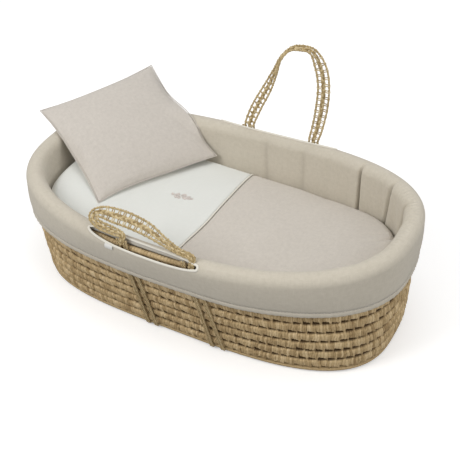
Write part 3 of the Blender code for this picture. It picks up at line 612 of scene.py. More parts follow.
def weave_relief(up, course):
    """Relief in metres, tone and depth of the weave for the rows `up` (0 to 1) of a course."""
    up = up[:, None]
    low_open, along, block = slit(course)
    high_open, high_along, high_block = slit(course + 1)
    # each slit is a wedge, tall where it starts and thin where it ends, and its height varies
    low_size = (0.29 - 0.17 * along) * (0.70 + 0.6 * scatter(block, course + 70))
    high_size = (0.17 - 0.10 * high_along) * (0.70 + 0.6 * scatter(high_block, course + 71))
    low_edge, high_edge = bell(up / low_size), bell((1 - up) / high_size)
    rounding = 1 - np.abs(2 * up - 1) ** 3.0
    relief = 0.0019 * rounding - 0.0008 * (low_edge + high_edge)
    relief = relief - 0.0054 * (low_edge**1.3 * low_open + high_edge**1.3 * high_open)
    # folds of the strips in each stitch, leaning a little, and the notch between two stitches
    folds = 3.0 + np.floor(2.0 * scatter(block, course + 60))
    lean = 0.30 * (scatter(block, course + 80) - 0.25)
    sway = 0.035 * np.sin(TAU * (up * 1.3 + scatter(block, course + 90)))
    leaned = along + lean * (up - 0.5) + sway
    strip = leaned * folds + scatter(block, course + 30)
    ridge = np.abs(np.sin(math.pi * strip)) ** 0.7
    relief = relief + 0.0013 * (ridge - 0.6) * (0.45 + 0.55 * rounding)
    notch = bell(np.minimum(leaned % 1, 1 - leaned % 1) / 0.050)
    relief = relief - 0.0027 * notch * (1.0 - 0.55 * up)
    puff = 0.0011 * (scatter(block, course + 50) - 0.5)
    puff = puff + 0.0005 * np.sin(TAU * 3 * WALL_SHARES + course)
    relief = relief + puff * rounding
    tone = 0.06 + 0.30 * scatter(block, course + 10)
    tone = tone + 0.74 * scatter(np.floor(strip) + 7 * block, course + 5)
    # painted shade: the tone drops in the grooves between folds, and depth, which follows the
    # relief, darkens the slits and notches with the husk's shadow colour
    tone = tone - 0.50 * (1 - ridge) ** 2
    return relief, tone, np.clip((relief + 0.0046) / 0.0062, 0, 1)


def weave_course(course):
    rows = 22 if course < 7 else 12
    up = 0.5 - 0.5 * np.cos(np.linspace(0.0, math.pi, rows))
    up = 0.55 * np.linspace(0, 1, rows) + 0.45 * up
    relief, tone, depth = weave_relief(up, course)
    low, high = (WALL_FOOT + (WALL_TOP - WALL_FOOT) * (course + k) / COURSES for k in (0, 1))
    z = low + (high - low) * up[:, None]
    outer = wall_point(WALL_BEARINGS, 0.0032 + relief, z)
    inner = wall_point(WALL_BEARINGS, -0.0046, np.stack([high, low]))
    tone = np.concatenate([tone, np.full((2, COLUMNS), 0.4)])
    depth = np.concatenate([depth, np.full((2, COLUMNS), 0.5)])
    along = np.concatenate([z, z[-1:], z[:1], z[:1]])
    along = np.concatenate([along, along[:, :1]], 1)
    obj = grid(f"woven_wall_course_{course + 1}", np.concatenate([outer, inner]),
               np.append(WALL_SHARES, 1.0) * WALL_ROUND, along, wrap=(1, 1),
               attributes={"tone": tone, "depth": depth})
    finish(obj, "husk", "basket", [f"wall_course_{course + 1}"])


for number in range(COURSES):
    weave_course(number)


# ---- woven base: oval rows wound round a straight middle, seen from below ----
# x of each carry rope: near side at the rim, near and far at the base, far side at the rim
CARRY_ROPES = {
    "head_carry_rope_outer": (-0.092, -0.055, -0.052, -0.060),
    "head_carry_rope_inner": (-0.077, -0.036, -0.034, -0.045),
    "foot_carry_rope_inner": (0.050, 0.093, 0.096, 0.094),
    "foot_carry_rope_outer": (0.066, 0.117, 0.119, 0.109),
}
# from the wall down to the underside: distance outside the wall's middle, height
BASE_EDGE = [
    (0.0038, BASE), (0.0036, 0.0082), (0.0028, 0.0056), (0.0012, 0.0034), (-0.0012, 0.0018),
    (-0.0040, 0.0010),
]


def woven_base():
    columns, laps, row_count = 860, 11, 88
    bearings, _, length = spread_bearings(columns, 0.05)
    rings = [wall_point(bearings, out, z) for out, z in BASE_EDGE]
    tone = [np.full(columns, 0.45)] * len(rings)
    depth = [np.full(columns, 0.8)] * len(rings)
    outline = wall_point(bearings, -0.0060, 0.0)
    spine = np.zeros((columns, 3))
    spine[:, 0] = np.clip(outline[:, 0], -0.17, 0.185)
    places = np.arange(columns) / columns * (2 * round(length / BLOCK / 2))
    for k in range(row_count):
        share = 1 - k / (row_count - 1) * 0.985
        lap = math.floor(share * laps)
        up = share * laps - lap
        place = places + 0.5 * (lap % 2)
        along, block = place % 1, np.floor(place)
        edge = bell(up / 0.16) + bell((1 - up) / 0.16)
        opening = ease((along - 0.10) / 0.12) * (1 - ease((along - 0.70) / 0.14))
        ridge = np.abs(np.sin(math.pi * (4 * along + scatter(block, lap)))) ** 0.7
        relief = 0.0012 * (1 - abs(2 * up - 1) ** 3) - 0.0022 * edge * opening
        relief = relief + 0.0005 * (ridge - 1)
        ring = spine * (1 - share) + outline * share
        ring[:, 2] = 0.0013 - np.minimum(relief, 0.0012)
        # grooves where the carry ropes pass underneath
        for _, near, far, _ in CARRY_ROPES.values():
            rope_x = near + (far - near) * ease((ring[:, 1] + 0.21) / 0.42)
            groove = 1 - ease((np.abs(ring[:, 0] - rope_x) - 0.0044) / 0.0022)
            ring[:, 2] = np.maximum(ring[:, 2], 0.0064 * groove)
        rings.append(ring)
        # painted light and shade: the tone is lighter on the ridges, and depth follows the relief so
        # the slits take the husk's shadow colour
        tone.append(0.25 + 0.45 * scatter(block, lap + 3) + 0.15 * ridge)
        depth.append(np.clip((relief + 0.003) / 0.0045, 0, 1))
    # the upper side, under the liner's floor
    for share, z in ((0.02, 0.0075), (0.5, 0.0090), (0.98, BASE - 0.0002)):
        ring = spine * (1 - share) + outline * share
        ring[:, 2] = z
        rings.append(ring)
        tone.append(np.full(columns, 0.4))
        depth.append(np.full(columns, 0.6))
    points = np.stack(rings)
    step = np.linalg.norm(np.diff(points, axis=0), axis=2).mean(1)
    along = np.concatenate([[0], np.cumsum(step)])
    obj = grid("woven_base", points, np.arange(columns + 1) / columns * length,
               np.append(along, along[-1] + 0.02), wrap=(1, 1),
               attributes={"tone": np.stack(tone), "depth": np.stack(depth)})
    face_out(obj)
    finish(obj, "husk", "basket", ["basket_base"])


woven_base()


# ---- rim coil: a core wrapped in plaited strips ----
def woven_rim():
    columns, sides, wrap_pitch = 1500, 22, 0.0072
    bearings, _, length = spread_bearings(columns, 1.0)
    angle = (np.arange(sides) / sides * TAU)[:, None]
    wraps = round(length / wrap_pitch)
    place = np.arange(columns) / columns * wraps + 0.55 * np.sin(angle) + 0.25 * np.cos(2 * angle)
    ridge = np.sin(math.pi * (place % 1)) ** 0.45
    fine = np.abs(np.sin(math.pi * 3 * (place % 1))) ** 0.8
    radius = RIM_COIL - 0.0003 - 0.0011 * (1 - ridge) + 0.0003 * (fine - 1)
    # painted light and shade: the tone is lighter on each wrap's ridge, and depth, also from the
    # ridge, shades the grooves with the husk's shadow colour
    tone = 0.30 + 0.40 * scatter(np.floor(place), 3) + 0.2 * ridge
    obj = grid("woven_rim_coil", rim_point(bearings, radius, angle),
               np.arange(columns + 1) / columns * length,
               np.arange(sides + 1) / sides * TAU * RIM_COIL, wrap=(1, 1),
               attributes={"tone": tone, "depth": np.clip(0.2 + ridge * 0.75, 0, 1)})
    face_out(obj)
    finish(obj, "husk", "basket", ["rim_coil"])


woven_rim()


# ---- carry ropes: down the near wall, under the base and up the far wall ----
# share of the way from the rim's x to the base's x, distance outside the wall's middle, height
ROPE_DROP = [
    (0.00, 0.0085, 0.2380), (0.08, 0.0098, 0.2210), (0.16, 0.0080, 0.2030),
    (0.32, 0.0078, 0.1690), (0.52, 0.0078, 0.1200), (0.74, 0.0078, 0.0700),
    (0.92, 0.0076, 0.0260), (0.99, 0.0067, 0.0090), (1.00, 0.0030, 0.0036),
    (1.00, -0.0060, 0.0032),
]


def carry_rope(name, near_top, near_low, far_low, far_top):
    knots = []
    for side, top, low in ((-1, near_top, near_low), (1, far_top, far_low)):
        for share, out, z in ROPE_DROP[::-side]:
            x = top + (low - top) * share
            knots.append(wall_point(bearing_at(x, min(1, z / RIM_LOW), side), out, z))
    path = drawn_path(knots, count=900, blur=0.0035)
    tangent = unit(np.gradient(path, axis=0))
    up = unit(np.cross(tangent, [1.0, 0.0, 0.0]))
    across = unit(np.cross(up, tangent))
    strands = Strands()
    # two small twisted cords lie side by side in each rope
    for k, sign in enumerate((-1, 1)):
        strands.twist(path + across * (sign * 0.00230) + up * 0.0003, across, up, radius=0.00150,
                      offset=0.00110, pitch=0.0098, tone=0.60 + 0.08 * sign, turn=0.9 * k, sides=6)
    finish(strands.build(name + "_twist"), "rope", "basket", [name])


for rope, places in CARRY_ROPES.items():
    carry_rope(rope, *places)


# ---- handles: two twisted edge cords, a plait between them, and strips across the open windows ----
ROOT_HEIGHTS = (0.2250, 0.2350)  # knots of each root, below the pivot
# x, distance along the handle's rise, twist in degrees, width
NEAR_KNOTS = [
    (NEAR_ROOTS[1] + 0.003, 0.0048, 0, 0.0150), (0.058, 0.0075, 0, 0.0150),
    (0.036, 0.0095, 0, 0.0155), (0.000, 0.0185, 0, 0.0210), (-0.040, 0.0295, 0, 0.0300),
    (-0.080, 0.0340, 0, 0.0330), (-0.112, 0.0345, 0, 0.0330), (-0.138, 0.0335, 10, 0.0270),
    (-0.1545, 0.0270, 20, 0.0200), (-0.1545, 0.0165, 20, 0.0185), (-0.136, 0.0080, 0, 0.0195),
    (-0.104, 0.0056, 0, 0.0190), (NEAR_ROOTS[0], 0.003, 0, 0.0150),
]
FAR_KNOTS = [
    (FAR_ROOTS[0], 0.003, 0, 0.026), (-0.029, 0.050, 0, 0.027), (-0.006, 0.101, 20, 0.026),
    (0.010, 0.143, 45, 0.024), (0.022, 0.178, 70, 0.024), (0.043, 0.205, 85, 0.024),
    (0.068, 0.213, 85, 0.024), (0.093, 0.210, 80, 0.024), (0.113, 0.176, 25, 0.028),
    (0.121, 0.134, 0, 0.031), (0.120, 0.085, 0, 0.031), (0.114, 0.037, 0, 0.029),
    (FAR_ROOTS[1], 0.003, 0, 0.0262),
]


def handle(prefix, knots, foot, rise, plait_share, pitch, strip_radius):
    """Builds a handle whose plait takes a share of its width; pitch is between its strips."""
    knots = np.array(knots)
    above = foot + knots[:, :1] * [1, 0, 0] + knots[:, 1:2] * rise
    above = np.concatenate([above, knots[:, 2:]], 1)
    roots = []
    for end, heights in ((above[0], ROOT_HEIGHTS), (above[-1], ROOT_HEIGHTS[::-1])):
        root = np.tile(end, (2, 1))
        root[:, 1] = foot[1]
        root[:, 2] = heights
        roots.append(root)
    path, length = smooth_path(np.concatenate([roots[0], above, roots[1]]), 620)
    twist, width, path = np.radians(path[:, 3:4]), np.maximum(path[:, 4], 0.013), path[:, :3]
    tangent = unit(np.gradient(path, axis=0))
    normal = unit(np.cross([1.0, 0, 0], rise))
    # at the roots the strap stands upright in the slot, so its normal turns with the bend
    flat = unit(np.cross(tangent, normal))
    side = unit(flat * np.cos(twist) + normal * np.sin(twist))
    up = unit(np.cross(tangent, side))
    side = unit(np.cross(up, tangent))
    run = np.linspace(0, length, len(path))
    last = len(path) - 1

    def strap_point(at, across, over):
        """Points at lengths along the strap, across it and over its plane."""
        i = np.clip(at / length * last, 0, last - 0.001)
        k = i.astype(int)
        part = (i - k)[:, None]
        centre, sideways, upward = (
            line[k] * (1 - part) + line[k + 1] * part for line in (path, side, up)
        )
        centre = centre + unit(sideways) * np.asarray(across)[:, None]
        return centre + unit(upward) * np.asarray(over)[:, None]

    made = []
    for number, sign in ((1, -1), (2, 1)):
        strands = Strands()
        centre = path + side * (sign * (width / 2 - 0.0030))[:, None]
        strands.twist(centre, side, up, radius=0.00140, offset=0.00105, pitch=0.0120, tone=0.5,
                      turn=number, sides=7)
        cord = strands.build(f"{prefix}_edge_cord_{number}")
        made.append((cord, f"{prefix}_edge_rope_{number}"))
    strands = Strands()
    # plait: three strips weaving across the middle
    half = np.clip(width * plait_share, 0.0014, 0.0050)
    for k in range(3):
        angle = TAU * (run / 0.0270 + k / 3)
        line = strap_point(run, half * np.sin(angle), 0.0011 * np.sin(2 * angle))
        strands.tube(line, (0.0011 + 0.35 * half) * (1 + 0.1 * np.sin(run * 700 + k)), 7,
                     tone=np.clip(0.50 + 0.45 * np.sin(run * 90 + 2 * k), 0, 1), flat=0.62,
                     reference=up.mean(0))
    # strips from the plait round each edge cord, leaving an open window between neighbours
    for k in range(int(length / pitch)):
        for sign in (-1, 1):
            start = (k + (0.0 if sign < 0 else 0.5) + 0.1 * scatter(k, 5 + sign)) * pitch
            if start + 0.0062 > length:
                continue
            wide = float(np.interp(start + 0.005, run, width))
            plait = float(np.clip(wide * plait_share, 0.0014, 0.0050))
            edge = wide / 2 - 0.0030
            between = plait + 0.3 * (edge - plait)
            # along from the start, across, over
            knots = np.array([
                (0.0000, plait * 0.3, -0.0012), (0.0012, between, 0.0004),
                (0.0024, edge - 0.0010, 0.0019), (0.0031, edge + 0.0016, 0.0011),
                (0.0036, edge + 0.0016, -0.0011), (0.0042, edge - 0.0010, -0.0019),
                (0.0050, between, -0.0004), (0.0062, plait * 0.3, 0.0012),
            ])
            at = np.clip(start + knots[:, 0], 0, length)
            line, _ = smooth_path(strap_point(at, sign * knots[:, 1], knots[:, 2]), 26)
            strands.tube(line, strip_radius * (0.9 + 0.25 * scatter(k, 9)), 6,
                         tone=float(0.20 + 0.75 * scatter(k * 2 + (sign > 0), 12)))
    made.append((strands.build(f"{prefix}_plait"), f"{prefix}_braid"))
    for obj, node in made:
        finish(obj, "strap", None, [node])
    return [obj for obj, _ in made]


NEAR_LEAN = math.radians(50)  # from upright, towards the far side
near_parts = handle(
    "near_handle", NEAR_KNOTS, foot=np.array([0, -PIVOT_Y, PIVOT_Z]),
    rise=np.array([0, math.sin(NEAR_LEAN), math.cos(NEAR_LEAN)]),
    plait_share=0.105, pitch=0.0128, strip_radius=0.00112,
)
for piece in near_parts:
    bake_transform(piece)
far_parts = handle(
    "far_handle", FAR_KNOTS, foot=np.array([0, PIVOT_Y, PIVOT_Z]), rise=np.array([0, 0, 1.0]),
    plait_share=0.095, pitch=0.0148, strip_radius=0.00120,
)
for piece in far_parts:
    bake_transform(piece)


# ---- padded liner: a skirt outside, a roll over the rim and an inner wall ----
LINER_COLUMNS = 1120
LINER_BEARINGS, LINER_SHARES, LINER_ROUND = spread_bearings(
    LINER_COLUMNS, 0.85, [(0.684, 0.07, 4.0), (0.38, 0.16, 2.2), (0.20, 0.16, 1.8)]
)
LINER_CENTRE = centre_height(LINER_BEARINGS)
LINER_ACROSS = np.append(LINER_SHARES, 1.0) * LINER_ROUND
SKIRT_ROWS, ROLL_ROWS, INNER_ROWS = 9, 9, 17  # the roll has its rows twice, either side of its slots
OUTER_EDGE = SKIRT_ROWS + ROLL_ROWS - 1  # rows that bound the slots
INNER_EDGE = OUTER_EDGE + 1
FLOOR_Z = 0.0126
LEAST_OPEN = 0.05  # half-angle above which a slot is open
hem_x = oval(LINER_BEARINGS, 0.7)[..., 0]
HEM_HEIGHT = 0.1511 + 0.0143 * hem_x + 0.0699 * hem_x * hem_x
HEM_WAVE = 0.0013 * ripple(LINER_SHARES, 3, 4)

# bearing, half-width, depth (negative stands out), lean in radians over the wall's height
CREASES = [
    (0.684, 0.0026, 0.0100, -0.010), (0.712, 0.0120, -0.0030, -0.010),
    (0.650, 0.0140, -0.0022, 0.0), (0.445, 0.0034, 0.0085, 0.10), (0.400, 0.0110, -0.0020, 0.10),
    (0.250, 0.0038, 0.0085, 0.16), (0.090, 0.0040, 0.0050, 0.18), (0.330, 0.0110, -0.0020, 0.02),
    (0.520, 0.0060, 0.0018, -0.06), (1.156, 0.0085, 0.0030, 0.01), (1.540, 0.0080, 0.0032, 0.02),
    (1.340, 0.0200, -0.0020, 0.02), (0.930, 0.0100, 0.0022, 0.0), (2.55, 0.0080, 0.0026, 0.05),
    (2.95, 0.0090, 0.0026, -0.06), (3.50, 0.0100, 0.0022, 0.0), (-0.35, 0.0090, 0.0024, -0.05),
    (-0.80, 0.0110, 0.0020, 0.04), (-1.40, 0.0140, 0.0014, 0.0), (-2.20, 0.0120, 0.0018, 0.03),
]


def slot_angles():
    """Middle and half-angle, on the roll, of the opening for the handles at each bearing. The
    openings face outwards and up; the half-angle is 0 where there is none."""
    x, y = oval(LINER_BEARINGS, 1.0).T
    half_angle = np.zeros(len(x))
    middle_angle = np.full(len(x), math.radians(54))
    for (start, end), side, tilt in ((NEAR_SLOT, -1, 11.0), (FAR_SLOT, 1, 0.0)):
        place = (x - (start + end) / 2) / ((end - start) / 2)
        on_side = y * side > 0
        opening = math.radians(37) * np.sqrt(np.clip(1 - np.abs(place) ** 3, 0, 1))
        half_angle = np.where(on_side & (np.abs(place) < 1), opening, half_angle)
        fade = np.exp(-3.0 * np.maximum(0, np.abs(place) - 1))
        lean = -math.radians(tilt) * np.clip(place, -1, 1) * fade
        middle_angle = np.where(on_side, middle_angle + lean, middle_angle)
    return middle_angle, half_angle


SLOT_MIDDLE, SLOT_HALF = slot_angles()
IS_OPEN = SLOT_HALF > LEAST_OPEN


def liner_skin():
    """Rows of the outer surface from the hem up, over the rim and down inside; and the painted shade
    of the folds at each point."""
    bearings = LINER_BEARINGS
    half_angle = np.maximum(SLOT_HALF, LEAST_OPEN)
    soft = 0.0009 * ripple(LINER_SHARES, 8, 5)
    distance = np.hypot(*oval(bearings, 0.8).T)
    rows = []
    # skirt: nearly straight, a little full just under the roll
    top = HEM_HEIGHT + 0.0110
    for share in np.linspace(0, 1, SKIRT_ROWS + 1)[:-1]:
        full = math.sin(math.pi * share)
        out = 0.0140 + (ROLL - 0.0140) * share**0.75 + 0.0011 * full
        out = out + HEM_WAVE * (1 - share) + soft * full
        rows.append(wall_point(bearings, out, top + (LINER_CENTRE - top) * share))
    # roll, outside and then inside its openings
    for share in np.linspace(0, 1, ROLL_ROWS):
        rows.append(rim_point(bearings, ROLL, (SLOT_MIDDLE - half_angle) * share))
    inner_angle = SLOT_MIDDLE + half_angle
    foot_side = bell(away(bearings, 0.12) / 0.30)
    for share in np.linspace(0, 1, ROLL_ROWS):
        pucker = 0.0010 * np.sin(TAU * (LINER_SHARES * 205 + 0.6 * share)) * foot_side
        pucker = pucker + 0.0005 * ripple(LINER_SHARES + 0.01 * share, 21, 6)
        fade = math.sin(math.pi * min(1.0, share + 0.02)) * (1 - math.exp(-8 * share))
        angle = inner_angle + (math.pi - inner_angle) * share
        rows.append(rim_point(bearings, ROLL + pucker * fade, angle))
    # inner wall
    for share in np.linspace(0, 1, INNER_ROWS + 1)[1:]:
        out = -ROLL - 0.0012 * math.sin(math.pi * min(1.0, share * 1.5)) + soft * min(1, share * 3)
        fade = ease(share / 0.10) * (1 - 0.5 * ease((share - 0.6) / 0.4))
        for bearing, width, depth, lean in CREASES:
            gap = away(bearings, bearing + lean * share) * distance
            out = out + depth * bell(gap / width) * fade
        rows.append(wall_point(bearings, out, LINER_CENTRE - (LINER_CENTRE - FLOOR_Z) * share))
    points = np.stack(rows)
    fold = np.zeros(points.shape[:2])
    centre = wall_point(bearings, 0.0, LINER_CENTRE)
    for bearing, width, depth, lean in CREASES:
        # the narrow deep creases get painted shade along their folds
        if depth >= 0.0025 and width <= 0.0086:
            for j in range(INNER_EDGE, len(rows)):
                share = (j - INNER_EDGE - ROLL_ROWS + 1) / INNER_ROWS
                gap = away(bearings, bearing + lean * max(share, 0.0)) * distance
                reach = ease((share + 0.22) / 0.30) * (1 - 0.4 * ease((share - 0.1) / 0.5))
                dark = min(1.0, depth / 0.0085) ** 1.6 * 0.85 * reach
                dark = dark * np.exp(-np.abs(gap / (0.55 * width)) ** 1.5)
                fold[j] = np.maximum(fold[j], dark)
        # creases run a little way over the roll as well
        dip = bell(away(bearings, bearing) * distance / (width * 1.3)) * depth * 0.8
        for k in range(ROLL_ROWS):
            inward = unit(centre - points[INNER_EDGE + k])
            fade = ease(k / (ROLL_ROWS - 1)) * 0.9
            points[INNER_EDGE + k] += inward * (dip * fade)[:, None]
    return points, fold


SKIN, FOLD_SHADE = liner_skin()


def padded_liner():
    keep = np.ones((len(SKIN) - 1, LINER_COLUMNS), bool)
    keep[OUTER_EDGE] = ~(IS_OPEN & np.roll(IS_OPEN, -1))
    step = np.linalg.norm(np.diff(SKIN, axis=0), axis=2).mean(1)
    along = np.concatenate([[0], np.cumsum(step)])
    # the fold attribute carries the painted shade of the folds to the material
    liner = grid("padded_liner", SKIN, LINER_ACROSS, along, (0, 1), keep, {"fold": FOLD_SHADE})
    thicken(liner, 0.0022)
    finish(liner, "face", "basket", ["liner_face_fabric", "liner_wadding"])


# section of the hem: distance outside the wall's middle, height above the hem
HEM_SECTION = [
    (0.0140, 0.0113), (0.0147, 0.0100), (0.0149, 0.0060), (0.0146, 0.0022), (0.0136, 0.0002),
    (0.0120, 0.0000), (0.0108, 0.0012), (0.0104, 0.0050), (0.0106, 0.0085), (0.0118, 0.0100),
    (0.0124, 0.0113),
]


def gathered_hem():
    """A narrow casing, slightly gathered."""
    gather = 0.00045 * np.sin(TAU * LINER_SHARES * 168 + 1.5 * ripple(LINER_SHARES, 5, 3))
    gather = gather + 0.0003 * np.sin(TAU * LINER_SHARES * 391)
    rows = []
    for out, z in HEM_SECTION:
        strength = ease((0.0100 - z) / 0.007) * (1 if out > 0.0115 else 0.3)
        rows.append(wall_point(LINER_BEARINGS, out + HEM_WAVE + gather * strength, HEM_HEIGHT + z))
    along = np.linspace(0, 0.034, len(rows) + 1)
    hem = grid("gathered_hem", np.stack(rows), LINER_ACROSS, along, wrap=(1, 1))
    face_out(hem)
    finish(hem, "face", "basket", ["liner_hem_casing", "hem_elastic"])


def hem_stitches():
    strands = Strands()
    count = int(LINER_ROUND / 0.0046)
    for k in range(count):
        at = np.array([k, k + 0.33, k + 0.66]) / count * LINER_COLUMNS
        base, i = on_loop(SKIN[0], at)
        out = unit(base - wall_point(LINER_BEARINGS[i], 0.0, base[:, 2]))
        out[:, 2] = 0
        line = base + out * np.array([0.0002, 0.0007, 0.0002])[:, None] + [0, 0, 0.0014]
        strands.tube(line, np.array([0.0002, 0.00036, 0.0002]), 4, tone=0.7)
    finish(strands.build("hem_stitches"), "binding", "basket")


padded_liner()
gathered_hem()
hem_stitches()


def binding(name, side, node):
    """Bias tape folded over the edge of an opening, with facings and stitches."""
    x, y = oval(LINER_BEARINGS, 1.0).T
    here = np.where(IS_OPEN & (y * side > 0))[0]
    order = here[np.argsort(x[here])]
    # pale facings close the cut edges of the padded roll
    centre = wall_point(LINER_BEARINGS[order], 0.0, LINER_CENTRE[order])
    for k, (row, depth) in enumerate(((OUTER_EDGE, 0.0036), (INNER_EDGE, 0.0100))):
        edge = SKIN[row][order]
        inward = unit(centre - edge)
        shares = np.linspace(0, 1, 5)
        rows = np.stack([edge + inward * (0.0006 + depth * share) for share in shares])
        across = np.linalg.norm(edge - edge[0], axis=1)
        facing = grid(f"{name}_facing_{k + 1}", rows, across, shares * depth)
        thicken(facing, 0.0006, offset=0.0)
        finish(facing, "backing", "basket")
    line = np.concatenate([SKIN[OUTER_EDGE][order], SKIN[INNER_EDGE][order[::-1]]])
    path, length = smooth_path(line[::3], 420, closed=True)
    path = (np.roll(path, 1, 0) + 2 * path + np.roll(path, -1, 0)) / 4
    bearings = np.array([bearing_at(float(np.clip(x, -0.2, 0.2)), 1.0, side) for x in path[:, 0]])
    up = unit(path - wall_point(bearings, 0.0, centre_height(bearings)))
    path = path + up * 0.0004
    strands = Strands()
    strands.tube(path, 0.0025, 12, closed=True, flat=0.62, reference=up)
    finish(strands.build(name), "binding", "basket", [node])
    # a fine row of stitches along the tape, to the outside of its middle
    strands = Strands()
    tangent = unit(np.roll(path, -1, 0) - np.roll(path, 1, 0))
    across = unit(np.cross(tangent, up))
    across = across * np.sign(((path - path.mean(0)) * across).sum(1, keepdims=True))
    count = int(length / 0.0042)
    for k in range(count):
        base, i = on_loop(path, np.array([k, k + 0.3, k + 0.6]) / count * len(path))
        stitch = base + across[i] * 0.0014 + up[i] * 0.00135
        strands.tube(stitch, np.array([0.00015, 0.00028, 0.00015]), 4, tone=0.6)
    finish(strands.build(name + "_stitches"), "binding", "basket")


binding("near_slot_tape", -1, "near_slot_binding")
binding("far_slot_tape", 1, "far_slot_binding")


def tab():
    """Blank folded tab under the outer edge of the near opening."""
    rows, columns = 10, 14
    places = np.linspace(-0.1150, -0.0970, columns)
    bearings = np.array([bearing_at(x, 1.0, -1) for x in places])
    points = []
    for share in np.linspace(0, 1, rows):
        bulge = 0.0016 * math.sin(math.pi * min(1, share * 1.1)) * (0.4 + 0.6 * share)
        radius = ROLL + 0.0009 + bulge + 0.0006 * share
        row = rim_point(bearings, radius, math.radians(26 - 30 * share))
        row[:, 2] -= 0.0006 * share * np.sin(np.linspace(0, math.pi, columns))
        points.append(row)
    obj = grid("blank_tab", np.stack(points), np.linspace(0, 0.017, columns),
               np.linspace(0, 0.011, rows))
    thicken(obj, 0.0008, offset=0.0)
    bevel = obj.modifiers.new("Soft", "BEVEL")
    bevel.width, bevel.segments = 0.00025, 2
    bevel.limit_method, bevel.angle_limit = "ANGLE", math.radians(50)
    apply_modifiers(obj)
    finish(obj, "label", "basket", ["label_tab"])


tab()


# ---- bedding: its outlines are radii about (BED_X, 0), by angle ----
BED_X = 0.005
BED_ANGLES = np.linspace(0, TAU, 361)[:-1]


def bed_outline(gap, lowest):
    """Largest outline that clears the liner by a gap at every level from the lowest up."""
    fine = np.linspace(-math.pi, math.pi, 1441)
    least = np.full(len(BED_ANGLES), 9.0)
    for level in np.linspace(lowest, 1.0, 18):
        points = oval(fine, level, -ROLL) - [BED_X, 0]
        angle = np.unwrap(np.arctan2(points[:, 1], points[:, 0]))
        radius = np.linalg.norm(points, axis=1)
        least = np.minimum(least, np.interp(away(BED_ANGLES, 0), angle, radius, period=TAU))
    least = least - gap
    # a little smoothing where the limiting levels change over
    for _ in range(6):
        least = np.minimum(least, (np.roll(least, 1) + 2 * least + np.roll(least, -1)) / 4)
    return least


MATTRESS_RADII, QUILT_RADII = bed_outline(0.0030, 0.0), bed_outline(0.0010, 0.62)


def limit(angle, radii):
    return np.interp(np.asarray(angle) % TAU, np.append(BED_ANGLES, TAU), np.append(radii, radii[0]))


def quilt_reach(x, y):
    """Distance from the bedding's centre, and the quilt's radius in that direction."""
    return np.hypot(x - BED_X, y), limit(np.arctan2(y, x - BED_X), QUILT_RADII)


def quilt_top(x, y):
    """Height of the quilt's filling, which rises at both ends."""
    radius, edge = quilt_reach(x, y)
    share = np.minimum(1.0, radius / edge)
    rise = 0.045 * ease((-x - 0.12) / 0.22) + 0.022 * ease((x - 0.15) / 0.20)
    return QUILT_EDGE + rise + 0.0115 * (1 - share**2) - 0.0010 * ease((share - 0.75) / 0.2)


def quilt_surface(x, y):
    """Height of the quilt with its soft edge and slight unevenness."""
    radius, edge = quilt_reach(x, y)
    inside = np.maximum(edge - radius, 0.0)
    drop = 1 - np.sqrt(np.clip(1 - (1 - np.clip(inside / 0.020, 0, 1)) ** 2.2, 0, 1))
    soft = 0.0011 * np.sin(31 * x + 9 * y + 1.0) * np.sin(23 * y - 7 * x)
    soft = soft + 0.0007 * np.sin(61 * x - 38 * y + 2)
    ridge = bell((y + 0.6 * x - 0.02) / 0.012)
    soft = soft + 0.0010 * ridge * ease((x - 0.02) / 0.05) * (1 - ease((x - 0.16) / 0.06))
    # the cloth stays above the filling, and at the head end a little higher
    soft = np.maximum(soft, -0.0004) + 0.0018 * ease((0.02 - x) / 0.08)
    # folds that fan out where the quilt is tucked in at the far corner of the foot end
    turn = np.arctan2(y - 0.112, x - 0.388) % TAU
    reach = np.hypot(x - 0.388, y - 0.112)
    fan = bell((turn - 3.80) / 0.62) * bell((reach - 0.052) / 0.036)
    soft = soft + 0.0062 * fan * np.abs(np.sin(6.5 * turn + 0.8 * np.sin(5 * turn))) ** 0.7
    return quilt_top(x, y) - 0.020 * drop + soft * ease(inside / 0.018) - 0.0006


def piping_line(y):
    """x of the seam between the quilt's two panels."""
    return PIPING_X - 0.014 * ease((-y - 0.01) / 0.15)


